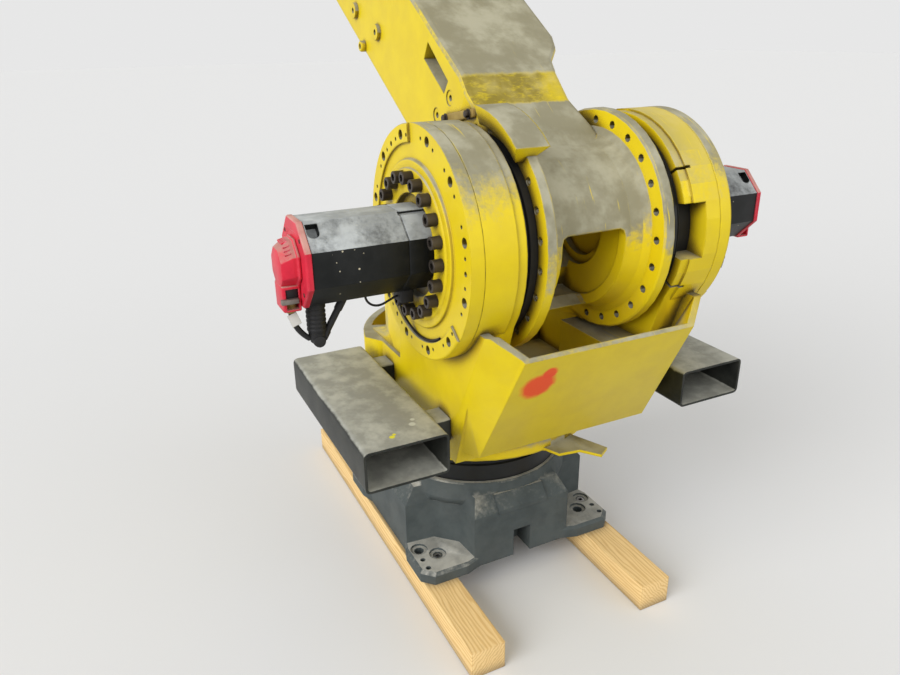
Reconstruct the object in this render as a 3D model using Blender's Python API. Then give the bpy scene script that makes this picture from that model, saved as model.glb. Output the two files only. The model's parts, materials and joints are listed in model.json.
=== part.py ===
"""Heavy six-axis robot arm, standing on two timbers with its arm leaned back.

Metres, Z up. The underside of the base is at Z = 0 and the slewing axis runs
through the origin. +X is the robot's front, so its right hand side is -Y.
"""

import math

import bmesh
import bpy
from mathutils import Matrix, Vector

# Fits between pieces
CLEARANCE = 0.0003
RUNNING_GAP = 0.006
SEAT_MARGIN = 0.004

# Timbers and base
TIMBER_WIDTH = 0.095
TIMBER_HEIGHT = 0.080
TIMBER_LENGTH = 1.260
TIMBER_CENTRE_X = -0.050
TIMBER_OFFSET_Y = 0.262
BASE_REACH = 0.300
BASE_ARM_HALF = 0.154
BASE_NOTCH = 0.217
BASE_EDGE_HEIGHT = 0.162
CROWN_HEIGHT = 0.206
CROWN_SHRINK = 0.880
COLLAR_RADIUS = 0.270
COLLAR_HEIGHT = 0.235
FOOT_REACH = 0.3145
FOOT_THICKNESS = 0.036
SLOT_HALF = 0.0165
SLOT_HEIGHT = 0.052

# Slewing joint and carriage
SLEW_RING_RADIUS = 0.258
SLEW_TOP = 0.355
TABLE_RADIUS = 0.350
TABLE_THICKNESS = 0.045
PROW_LOW = 0.485
PROW_HIGH = 0.835
PROW_TIP_LOW = 0.484
PROW_TIP_HIGH = 0.672
PROW_LIP = 0.786
FACET_LOW = 0.400
FACET_HIGH = 0.592
PLATE = 0.012
WEB_REAR = -0.109
CARRIAGE_HALF = 0.285
DECK_HEIGHT = 0.610
DECK_RADIUS = 0.322
DECK_THICKNESS = 0.085
WALL = 0.022
SHELF_START = 0.300
SHELF_HALF = 0.100

# Shoulder joint
SHOULDER_X = 0.360
SHOULDER_Z = 0.980
CHEEK_RADIUS = 0.2555
CHEEK_INNER = 0.200
CHEEK_OUTER = 0.296
WEB_OUTER = 0.274
CAP_FACE = 0.333
REDUCER_RADIUS = 0.2045
BOLT_CIRCLE = 0.234
CAP_HOLES = 12

# Motors
MOTOR_FLATS = 0.174
MOTOR_SEAT = 0.322
MOTOR_END = 0.585
END_PLATE = 0.013

# Fork tubes
TUBE_WIDTH = 0.200
TUBE_HEIGHT = 0.100
TUBE_WALL = 0.006
TUBE_CORNER = 0.012
TUBE_REAR = -0.036
TUBE_FRONT = 0.520
TUBE_INNER_Y = 0.332
TUBE_LOW = 0.4946

# Lower arm, in its own upright frame on the shoulder axis
ARM_LEAN = 57.0
ARM_HALF = 0.160
ARM_FRONT = 0.222
ARM_BACK = -0.090
FLANGE_RADIUS = 0.262
FLANGE_OUTER = 0.160
FLANGE_INNER = 0.134
STOP_RADIUS = 0.286
HUB_BORE = 0.172
HUB_WINDOW = 0.130
FLANGE_HOLES = 24
FLANGE_CIRCLE = 0.236
ELBOW_X = 0.060
ELBOW_Z = 1.280
ELBOW_EYE = 0.150
FORK_SLOT = 0.1125
FORK_DEPTH = 0.335

# Forearm, in its own frame on the elbow axis
FOREARM_RISE = 10.0
FOREARM_END = 1.100
WRIST_END = 1.220
FLANGE_FACE = 1.375

YELLOW = (0.80, 0.62, 0.03)
GREY_BLUE = (0.11, 0.13, 0.14)
BLACK = (0.012, 0.012, 0.013)
STEEL = (0.10, 0.10, 0.095)
RED = (0.55, 0.03, 0.05)
PINE = (0.62, 0.42, 0.20)


def clear_scene():
    for item in list(bpy.data.objects):
        bpy.data.objects.remove(item, do_unlink=True)


def arc(centre, radius, start, end, steps):
    """Points on an arc, angles in degrees."""
    points = []
    for index in range(steps + 1):
        angle = math.radians(start + (end - start) * index / steps)
        points.append((centre[0] + radius * math.cos(angle), centre[1] + radius * math.sin(angle)))
    return points


def octagon(flats):
    """Regular octagon with flats on the axes."""
    radius = flats / 2 / math.cos(math.pi / 8)
    return arc((0, 0), radius, 22.5, 337.5, 7)


def rounded_box(half_u, half_v, corner, steps=3):
    points = []
    for quadrant, (sign_u, sign_v) in enumerate(((1, 1), (-1, 1), (-1, -1), (1, -1))):
        centre = (sign_u * (half_u - corner), sign_v * (half_v - corner))
        points += arc(centre, corner, 90 * quadrant, 90 * quadrant + 90, steps)
    return points


def shifted(points, du, dv):
    return [(u + du, v + dv) for u, v in points]


PLANES = {
    "XY": lambda u, v, w: (u, v, w),
    "XZ": lambda u, v, w: (u, w, v),
    "YZ": lambda u, v, w: (w, u, v),
}


def closed(shape):
    bmesh.ops.remove_doubles(shape, verts=shape.verts, dist=0.00001)
    bmesh.ops.recalc_face_normals(shape, faces=shape.faces)
    return shape


def prism(outline, start, end, plane):
    """Outline drawn in a plane and pushed along that plane's normal."""
    shape = bmesh.new()
    low = [shape.verts.new(PLANES[plane](u, v, start)) for u, v in outline]
    face = shape.faces.new(low)
    pushed = bmesh.ops.extrude_face_region(shape, geom=[face])
    travel = Vector(PLANES[plane](0, 0, end - start))
    bmesh.ops.translate(
        shape, vec=travel, verts=[v for v in pushed["geom"] if isinstance(v, bmesh.types.BMVert)]
    )
    return closed(shape)


def turned(profile, axis, steps=40):
    """Profile of (radius, height) pairs turned about an axis through the origin."""
    shape = bmesh.new()
    verts = [shape.verts.new((radius, 0, height)) for radius, height in profile]
    edges = [shape.edges.new(pair) for pair in zip(verts, verts[1:])]
    if profile[0][0] > 0:
        edges.append(shape.edges.new((verts[-1], verts[0])))
    bmesh.ops.spin(
        shape,
        geom=verts + edges,
        cent=(0, 0, 0),
        axis=(0, 0, 1),
        angle=2 * math.pi,
        steps=steps,
        use_merge=True,
    )
    if axis == "Y":
        bmesh.ops.rotate(shape, matrix=Matrix.Rotation(math.radians(-90), 3, "X"), verts=shape.verts)
    if axis == "X":
        bmesh.ops.rotate(shape, matrix=Matrix.Rotation(math.radians(90), 3, "Y"), verts=shape.verts)
    return closed(shape)


def lofted(sections):
    """Skin over rings of points that all have the same count."""
    shape = bmesh.new()
    rings = [[shape.verts.new(point) for point in ring] for ring in sections]
    count = len(rings[0])
    for low, high in zip(rings, rings[1:]):
        for index in range(count):
            following = (index + 1) % count
            shape.faces.new((low[index], low[following], high[following], high[index]))
    shape.faces.new(rings[0])
    shape.faces.new(rings[-1])
    return closed(shape)


def moved(shape, offset):
    bmesh.ops.translate(shape, vec=Vector(offset), verts=shape.verts)
    return shape


def mirrored(shape, side):
    """Shape built on the left hand side, kept or turned over to the right."""
    if side < 0:
        bmesh.ops.scale(shape, vec=(1, -1, 1), verts=shape.verts)
        bmesh.ops.recalc_face_normals(shape, faces=shape.faces)
    return shape


def to_object(name, shape):
    mesh = bpy.data.meshes.new(name)
    shape.to_mesh(mesh)
    shape.free()
    item = bpy.data.objects.new(name, mesh)
    bpy.context.scene.collection.objects.link(item)
    return item


def node(name, shape, colour, roughness, metallic, parent, location=(0, 0, 0)):
    """One finished piece with its own material, placed on its parent axis."""
    item = to_object(name, shape)
    material = bpy.data.materials.new(name + "_finish")
    material.use_nodes = True
    shader = material.node_tree.nodes["Principled BSDF"]
    shader.inputs["Base Color"].default_value = (*colour, 1)
    shader.inputs["Roughness"].default_value = roughness
    shader.inputs["Metallic"].default_value = metallic
    item.data.materials.append(material)
    item.parent = parent
    item.location = location
    bpy.context.view_layer.update()
    return item


def apply_modifier(item, modifier):
    with bpy.context.temp_override(object=item, active_object=item):
        bpy.ops.object.modifier_apply(modifier=modifier.name)


def combine(item, operation, *shapes):
    """Join, cut or intersect an object with further closed shapes."""
    for shape in shapes:
        tool = to_object("tool", shape)
        tool.matrix_world = item.matrix_world
        modifier = item.modifiers.new("combine", "BOOLEAN")
        modifier.operation = operation
        modifier.solver = "EXACT"
        modifier.object = tool
        apply_modifier(item, modifier)
        bpy.data.objects.remove(tool, do_unlink=True)
    return item


def soften(item, width, segments=2, angle=35):
    """Small radius on the outer edges."""
    modifier = item.modifiers.new("soften", "BEVEL")
    modifier.width = width
    modifier.segments = segments
    modifier.limit_method = "ANGLE"
    modifier.angle_limit = math.radians(angle)
    apply_modifier(item, modifier)
    return item


def axis_empty(name, location, parent=None):
    item = bpy.data.objects.new(name, None)
    bpy.context.scene.collection.objects.link(item)
    item.parent = parent
    item.location = location
    bpy.context.view_layer.update()
    return item


def tidy(item):
    """Merge the flat facets that joining leaves behind."""
    shape = bmesh.new()
    shape.from_mesh(item.data)
    bmesh.ops.remove_doubles(shape, verts=shape.verts, dist=0.000002)
    bmesh.ops.dissolve_limit(
        shape, angle_limit=math.radians(0.05), verts=shape.verts, edges=shape.edges
    )
    shape.to_mesh(item.data)
    shape.free()
    return item


def timbers():
    for name, side in (("timber_right", -1), ("timber_left", 1)):
        outline = rounded_box(TIMBER_LENGTH / 2, TIMBER_WIDTH / 2, 0.003, 1)
        shape = prism(outline, -TIMBER_HEIGHT, -CLEARANCE, "XY")
        node(name, shape, PINE, 0.75, 0.0, None, (TIMBER_CENTRE_X, side * TIMBER_OFFSET_Y, 0))


def base_outline():
    """Cross with slanted inner corners, one quarter turned four times."""
    inner = BASE_ARM_HALF + 0.008
    quarter = (
        (BASE_REACH, BASE_ARM_HALF),
        (BASE_NOTCH, inner),
        (inner, BASE_NOTCH),
        (BASE_ARM_HALF, BASE_REACH),
    )
    points = []
    for turn in range(4):
        turning = Matrix.Rotation(math.radians(90 * turn), 2)
        points += [tuple(turning @ Vector(point)) for point in quarter]
    return points


def base_casting():
    outline = base_outline()
    crown = [(x * CROWN_SHRINK, y * CROWN_SHRINK) for x, y in outline]
    rings = (
        [(x, y, 0) for x, y in outline],
        [(x, y, BASE_EDGE_HEIGHT) for x, y in outline],
        [(x, y, CROWN_HEIGHT) for x, y in crown],
    )
    item = node("base_casting", lofted(rings), GREY_BLUE, 0.6, 0.3, None)
    chamfer = 0.031
    edge = FOOT_REACH - chamfer
    root = BASE_ARM_HALF - 0.05
    foot = [
        (root, root),
        (BASE_REACH - 0.01, root),
        (FOOT_REACH, BASE_ARM_HALF + 0.03),
        (FOOT_REACH, edge),
        (edge, FOOT_REACH),
        (BASE_ARM_HALF + 0.03, FOOT_REACH),
        (root, BASE_REACH - 0.01),
    ]
    for turn in range(4):
        turning = Matrix.Rotation(math.radians(90 * turn), 2)
        corner = [tuple(turning @ Vector(point)) for point in foot]
        inset = [(x * 0.975, y * 0.975) for x, y in corner]
        rings = (
            [(x, y, 0) for x, y in corner],
            [(x, y, FOOT_THICKNESS * 0.75) for x, y in corner],
            [(x, y, FOOT_THICKNESS) for x, y in inset],
        )
        combine(item, "UNION", lofted(rings))
    collar = (
        (0, CROWN_HEIGHT - 0.035),
        (COLLAR_RADIUS + 0.010, CROWN_HEIGHT - 0.035),
        (COLLAR_RADIUS + 0.010, CROWN_HEIGHT - 0.020),
        (COLLAR_RADIUS + 0.002, CROWN_HEIGHT),
        (COLLAR_RADIUS, COLLAR_HEIGHT - 0.004),
        (COLLAR_RADIUS - 0.004, COLLAR_HEIGHT),
        (0, COLLAR_HEIGHT),
    )
    combine(item, "UNION", turned(collar, "Z"))
    pad = (
        (BASE_REACH - 0.05, BASE_EDGE_HEIGHT - 0.02),
        (BASE_REACH + 0.004, BASE_EDGE_HEIGHT - 0.006),
        (BASE_REACH + 0.004, BASE_EDGE_HEIGHT + 0.007),
        (BASE_REACH - 0.026, CROWN_HEIGHT - 0.002),
        (BASE_REACH - 0.05, CROWN_HEIGHT - 0.003),
    )
    combine(item, "UNION", prism(pad, -0.078, 0.078, "XZ"))
    slot = rounded_box(SLOT_HALF, SLOT_HEIGHT, 0.005, 2)
    combine(item, "DIFFERENCE", prism(slot, BASE_REACH - 0.07, BASE_REACH + 0.05, "YZ"))
    combine(item, "DIFFERENCE", prism(slot, -BASE_REACH - 0.05, -BASE_REACH + 0.07, "YZ"))
    for sign_x in (1, -1):
        for sign_y in (1, -1):
            for along, across, radius, sink in (
                (0.195, 0.280, 0.0145, 0.0245),
                (0.236, 0.240, 0.0145, 0.0245),
                (0.243, 0.289, 0.0075, 0.0),
                (0.281, 0.289, 0.0075, 0.0),
            ):
                centre = (sign_x * along, sign_y * across)
                hole = arc(centre, radius, 0, 315, 7)
                combine(item, "DIFFERENCE", prism(hole, -0.01, FOOT_THICKNESS + 0.01, "XY"))
                if sink:
                    wide = arc(centre, sink, 0, 330, 11)
                    depth = FOOT_THICKNESS - 0.006
                    combine(item, "DIFFERENCE", prism(wide, depth, depth + 0.02, "XY"))
    tidy(item)


def slew_ring():
    profile = (
        (0, COLLAR_HEIGHT + CLEARANCE),
        (SLEW_RING_RADIUS, COLLAR_HEIGHT + CLEARANCE),
        (SLEW_RING_RADIUS, COLLAR_HEIGHT + 0.05),
        (SLEW_RING_RADIUS - 0.006, COLLAR_HEIGHT + 0.054),
        (SLEW_RING_RADIUS - 0.006, COLLAR_HEIGHT + 0.064),
        (SLEW_RING_RADIUS, COLLAR_HEIGHT + 0.068),
        (SLEW_RING_RADIUS, SLEW_TOP - CLEARANCE),
        (0, SLEW_TOP - CLEARANCE),
    )
    node("slew_ring", turned(profile, "Z"), BLACK, 0.5, 0.2, None)


def connector_box():
    """Cable entry at the rear of the base."""
    outline = rounded_box(0.105, 0.055, 0.010, 2)
    shape = prism(shifted(outline, 0, 0.100), -BASE_REACH - 0.075, -BASE_REACH - CLEARANCE, "YZ")
    item = node("connector_box", shape, GREY_BLUE, 0.55, 0.3, None)
    for offset in (-0.055, 0.0, 0.055):
        socket = arc((offset, 0.100), 0.019, 0, 345, 15)
        combine(item, "DIFFERENCE", prism(socket, -BASE_REACH - 0.09, -BASE_REACH - 0.055, "YZ"))


def prow_ring(tip, tip_half, facet, half, rear, height):
    corner = 0.08
    return [
        (tip, -tip_half, height),
        (tip, tip_half, height),
        (facet, half, height),
        (rear + corner, half, height),
        (rear, half - corner, height),
        (rear, corner - half, height),
        (rear + corner, -half, height),
        (facet, -half, height),
    ]


def deck_ring(radius, height):
    inside = CARRIAGE_HALF - SEAT_MARGIN
    outline = arc((0, 0), radius, 100, 260, 28)
    outline += [(0.0, -inside), (0.08, WALL - inside), (0.08, inside - WALL), (0.0, inside)]
    return [(x, y, height) for x, y in outline]


def prow_share(height):
    return (height - PROW_LOW) / (PROW_HIGH - PROW_LOW)


def prow_tip(height):
    return PROW_TIP_LOW + (PROW_TIP_HIGH - PROW_TIP_LOW) * prow_share(height)


def prow_facet(height):
    return FACET_LOW + (FACET_HIGH - FACET_LOW) * prow_share(height)


def shoulder_point(radius, angle):
    turn = math.radians(angle)
    return (SHOULDER_X + radius * math.cos(turn), SHOULDER_Z + radius * math.sin(turn))


def on_shoulder(shape):
    return moved(shape, (SHOULDER_X, 0, SHOULDER_Z))


def swing_cut(radius, start, end):
    """Room for what turns on the shoulder axis between two planes."""
    return on_shoulder(turned(((0, start), (radius, start), (radius, end), (0, end)), "Y"))


def carriage_hull(slew):
    """Shell with a slanted front plate, a round table below and a deck behind."""
    low, high = PROW_LOW, PROW_HIGH
    rings = (
        prow_ring(0.300, 0.120, 0.200, 0.250, -0.200, SLEW_TOP + 0.02),
        prow_ring(PROW_TIP_LOW, 0.239, FACET_LOW, CARRIAGE_HALF, -0.150, low),
        prow_ring(PROW_TIP_HIGH, 0.218, FACET_HIGH, CARRIAGE_HALF, -0.105, high),
    )
    item = node("carriage_casting", lofted(rings), YELLOW, 0.45, 0.1, slew)
    table = (
        (0, SLEW_TOP),
        (TABLE_RADIUS - 0.005, SLEW_TOP),
        (TABLE_RADIUS, SLEW_TOP + 0.006),
        (TABLE_RADIUS, SLEW_TOP + TABLE_THICKNESS - 0.010),
        (TABLE_RADIUS - 0.015, SLEW_TOP + TABLE_THICKNESS),
        (0, SLEW_TOP + TABLE_THICKNESS),
    )
    combine(item, "UNION", turned(table, "Z"))
    edge = TABLE_RADIUS
    lug = ((edge - 0.05, -0.02), (edge + 0.002, 0.035), (edge + 0.042, 0.052))
    lug += ((edge + 0.050, 0.112), (edge + 0.098, 0.148))
    lug += ((edge + 0.074, 0.184), (edge - 0.05, 0.13))
    combine(item, "UNION", prism(lug, SLEW_TOP + 0.003, SLEW_TOP + 0.011, "XY"))
    underside = DECK_HEIGHT - DECK_THICKNESS
    rings = (
        deck_ring(DECK_RADIUS - 0.070, underside - 0.070),
        deck_ring(DECK_RADIUS, underside),
        deck_ring(DECK_RADIUS, DECK_HEIGHT),
    )
    combine(item, "UNION", lofted(rings))
    return item


def carriage_pocket(item):
    """Open well under the arm, with a shelf on each side of a middle channel."""
    low, high = PROW_LOW, PROW_HIGH
    floor = low + 0.06
    shelf = SHOULDER_Z - FLANGE_RADIUS - RUNNING_GAP - SEAT_MARGIN
    inner = CARRIAGE_HALF - WALL
    upper = high + 0.04
    rings = (
        prow_ring(prow_tip(shelf) - PLATE, 0.209, prow_facet(shelf), inner, 0.05, shelf),
        prow_ring(prow_tip(upper) - PLATE, 0.206, prow_facet(upper), inner, 0.06, upper),
    )
    combine(item, "DIFFERENCE", lofted(rings))
    channel = (
        (0.05, floor),
        (prow_tip(floor) - PLATE, floor),
        (prow_tip(shelf) - PLATE, shelf),
        (prow_tip(shelf) - PLATE, shelf + 0.01),
        (0.05, shelf + 0.01),
    )
    combine(item, "DIFFERENCE", prism(channel, -SHELF_HALF, SHELF_HALF, "XZ"))
    room = shifted(rounded_box((SHELF_START - 0.05) / 2, inner, 0.03), (SHELF_START + 0.05) / 2, 0)
    combine(item, "DIFFERENCE", prism(room, floor, shelf + 0.01, "XY"))
    lip = (
        (0.600, high + 0.001),
        (prow_tip(PROW_LIP), PROW_LIP),
        (0.80, PROW_LIP - 0.010),
        (0.80, high + 0.10),
        (0.600, high + 0.10),
    )
    combine(item, "DIFFERENCE", prism(lip, -0.4, 0.4, "XZ"))
    rear = ((-0.5, DECK_HEIGHT), (0.125, DECK_HEIGHT), (0.150, high + 0.10), (-0.5, high + 0.10))
    combine(item, "DIFFERENCE", prism(rear, -0.4, 0.4, "XZ"))
    for side in (-1, 1):
        tray = arc((0, 0), DECK_RADIUS - WALL, 117, 151, 6)
        tray += [(-0.250, 0.110), (-0.122, 0.110), (-0.120, 0.228)]
        shape = prism(tray, DECK_HEIGHT - 0.068, DECK_HEIGHT + 0.05, "XY")
        combine(item, "DIFFERENCE", mirrored(shape, side))


def carriage_cheeks(item):
    """Upright on each side of the arm, with the seat and bore of its shoulder drive."""
    cheek = arc((SHOULDER_X, SHOULDER_Z), CHEEK_RADIUS - 0.005, -35, 190, 28)
    cheek += [(WEB_REAR, 0.740), (WEB_REAR, DECK_HEIGHT - 0.010), (0.080, 0.450), (0.430, 0.450)]
    for side in (-1, 1):
        combine(item, "UNION", mirrored(prism(cheek, CHEEK_INNER, WEB_OUTER, "XZ"), side))
        flank = ((-0.200, 0.210), (0.062, 0.276), (0.062, 0.400), (-0.200, 0.400))
        combine(item, "DIFFERENCE", mirrored(prism(flank, DECK_HEIGHT + 0.002, 0.90, "XY"), side))
    reach = CHEEK_INNER - RUNNING_GAP / 2
    combine(item, "DIFFERENCE", swing_cut(FLANGE_RADIUS + RUNNING_GAP, -reach, reach))
    combine(item, "DIFFERENCE", swing_cut(STOP_RADIUS + RUNNING_GAP, -reach, -0.109))
    disc = (
        (0, CHEEK_INNER + 0.022),
        (CHEEK_RADIUS, CHEEK_INNER + 0.022),
        (CHEEK_RADIUS, CHEEK_OUTER),
        (0, CHEEK_OUTER),
    )
    for side in (-1, 1):
        combine(item, "UNION", on_shoulder(mirrored(turned(disc, "Y"), side)))
    bore = REDUCER_RADIUS + CLEARANCE
    seat = CHEEK_RADIUS + SEAT_MARGIN
    recess = (
        (0, CHEEK_INNER - 0.02),
        (bore, CHEEK_INNER - 0.02),
        (bore, CHEEK_OUTER),
        (seat, CHEEK_OUTER),
        (seat, CAP_FACE + 0.03),
        (0, CAP_FACE + 0.03),
    )
    for side in (-1, 1):
        combine(item, "DIFFERENCE", on_shoulder(mirrored(turned(recess, "Y"), side)))
    window = [shoulder_point(0.19, 21), shoulder_point(0.19, -12)]
    window += [shoulder_point(0.31, -10), shoulder_point(0.31, 16)]
    combine(item, "DIFFERENCE", prism(window, CHEEK_INNER - 0.02, WEB_OUTER - 0.018, "XZ"))
    for angle in (36.0, -27.5):
        kerf = [shoulder_point(0.19, angle - 0.9), shoulder_point(0.31, angle - 0.6)]
        kerf += [shoulder_point(0.31, angle + 0.6), shoulder_point(0.19, angle + 0.9)]
        combine(item, "DIFFERENCE", prism(kerf, CHEEK_INNER - 0.02, CHEEK_INNER + 0.035, "XZ"))


def carriage_casting(slew):
    item = carriage_hull(slew)
    carriage_pocket(item)
    carriage_cheeks(item)
    tidy(item)


def shoulder_side(slew, side, hand):
    """Housing cap, reducer and seal on one side of the shoulder axis."""
    place = (SHOULDER_X, 0, SHOULDER_Z)
    cap = (
        (0, CHEEK_OUTER + CLEARANCE),
        (CHEEK_RADIUS, CHEEK_OUTER + CLEARANCE),
        (CHEEK_RADIUS, CAP_FACE - 0.003),
        (CHEEK_RADIUS - 0.003, CAP_FACE),
        (0.208, CAP_FACE),
        (0.205, CAP_FACE - 0.006),
        (0.186, CAP_FACE - 0.006),
        (0.184, CAP_FACE - 0.002),
        (0.170, CAP_FACE - 0.002),
        (0.168, CAP_FACE - 0.008),
        (0.155, CAP_FACE - 0.008),
        (0.152, MOTOR_SEAT),
        (0, MOTOR_SEAT),
    )
    item = node("housing_cap_" + hand, mirrored(turned(cap, "Y"), side),
                YELLOW, 0.45, 0.1, slew, place)
    for index in range(CAP_HOLES):
        angle = math.radians(14 + 360 / CAP_HOLES * index)
        centre = (BOLT_CIRCLE * math.cos(angle), BOLT_CIRCLE * math.sin(angle))
        hole = prism(arc(centre, 0.0100, 0, 315, 7), CAP_FACE - 0.025, CAP_FACE + 0.01, "XZ")
        combine(item, "DIFFERENCE", mirrored(hole, side))
    tidy(item)
    inner = FLANGE_OUTER + CLEARANCE
    reducer = (
        (0, inner),
        (0.228, inner),
        (0.228, inner + 0.020),
        (REDUCER_RADIUS, inner + 0.024),
        (REDUCER_RADIUS, CHEEK_OUTER),
        (0, CHEEK_OUTER),
    )
    node("reducer_" + hand, mirrored(turned(reducer, "Y"), side), STEEL, 0.5, 0.7, slew, place)
    seal = (
        (REDUCER_RADIUS + CLEARANCE, inner + 0.0245),
        (0.232, inner + 0.0245),
        (0.232, CHEEK_INNER - CLEARANCE),
        (REDUCER_RADIUS + CLEARANCE, CHEEK_INNER - CLEARANCE),
    )
    node("seal_" + hand, mirrored(turned(seal, "Y"), side), BLACK, 0.7, 0.0, slew, place)


def shoulder_motor(slew, side, hand):
    place = (SHOULDER_X, 0, SHOULDER_Z)
    body = prism(octagon(MOTOR_FLATS), MOTOR_SEAT + CLEARANCE, MOTOR_END, "XZ")
    soften(node("motor_" + hand, mirrored(body, side), BLACK, 0.45, 0.4, slew, place), 0.002, 1)
    plate_start = MOTOR_END + CLEARANCE
    plate = prism(octagon(MOTOR_FLATS + 0.004), plate_start, plate_start + END_PLATE, "XZ")
    item = node("end_plate_" + hand, mirrored(plate, side), RED, 0.4, 0.2, slew, place)
    soften(item, 0.0015, 1)
    cap_start = plate_start + END_PLATE + CLEARANCE
    rings = []
    for flats, reach in ((0.104, 0), (0.104, 0.022), (0.090, 0.040), (0.062, 0.052)):
        rings.append([(u, cap_start + reach, v + 0.012) for u, v in octagon(flats)])
    node("encoder_cap_" + hand, mirrored(lofted(rings), side), RED, 0.4, 0.2, slew, place)
    block = prism(rounded_box(0.032, 0.022, 0.005, 1), cap_start, cap_start + 0.040, "XZ")
    moved(block, (0, 0, -0.066))
    item = node("connector_" + hand, mirrored(block, side), RED, 0.4, 0.2, slew, place)
    mouth = prism(rounded_box(0.020, 0.012, 0.003, 1), cap_start + 0.012, cap_start + 0.06, "XZ")
    combine(item, "DIFFERENCE", mirrored(moved(mouth, (0, 0, -0.066)), side))
    top = -MOTOR_FLATS / 2 - CLEARANCE
    plug = (
        (0, top),
        (0.021, top),
        (0.021, top - 0.012),
        (0.018, top - 0.014),
        (0.018, top - 0.045),
        (0.014, top - 0.052),
        (0, top - 0.054),
    )
    shape = moved(turned(plug, "Z", 16), (0, side * (MOTOR_END - 0.035), 0))
    node("plug_" + hand, shape, BLACK, 0.6, 0.0, slew, place)


def fork_tube(slew, side, hand):
    place = (0, side * (TUBE_INNER_Y + TUBE_WIDTH / 2), TUBE_LOW + TUBE_HEIGHT / 2)
    outer = rounded_box(TUBE_WIDTH / 2, TUBE_HEIGHT / 2, TUBE_CORNER)
    inner = rounded_box(TUBE_WIDTH / 2 - TUBE_WALL, TUBE_HEIGHT / 2 - TUBE_WALL,
                        TUBE_CORNER - TUBE_WALL)
    item = node("fork_tube_" + hand, prism(outer, TUBE_REAR, TUBE_FRONT, "YZ"),
                STEEL, 0.6, 0.6, slew, place)
    combine(item, "DIFFERENCE", prism(inner, TUBE_REAR - 0.05, TUBE_FRONT + 0.05, "YZ"))
    start = CARRIAGE_HALF + CLEARANCE
    end = TUBE_INNER_Y - CLEARANCE
    middle = (0, 0, TUBE_LOW + TUBE_HEIGHT / 2)
    for where, along in (("rear", 0.045), ("front", 0.395)):
        shape = prism(shifted(rounded_box(0.034, 0.030, 0.004, 1), along, 0), start, end, "XZ")
        node("fork_spacer_" + hand + "_" + where, mirrored(shape, side),
             STEEL, 0.6, 0.6, slew, middle)


def slew_motor(slew):
    """Upright motor that turns the carriage, on the rear deck."""
    place = (-0.165, 0, DECK_HEIGHT)
    body = prism(octagon(MOTOR_FLATS - 0.02), CLEARANCE, 0.200, "XY")
    soften(node("slew_motor", body, BLACK, 0.45, 0.4, slew, place), 0.002, 1)
    rings = []
    for flats, reach in ((0.158, 0), (0.158, 0.013), (0.104, 0.015), (0.098, 0.040), (0.070, 0.052)):
        rings.append([(u, v, 0.200 + CLEARANCE + reach) for u, v in octagon(flats)])
    node("slew_motor_cap", lofted(rings), RED, 0.4, 0.2, slew, place)


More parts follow.
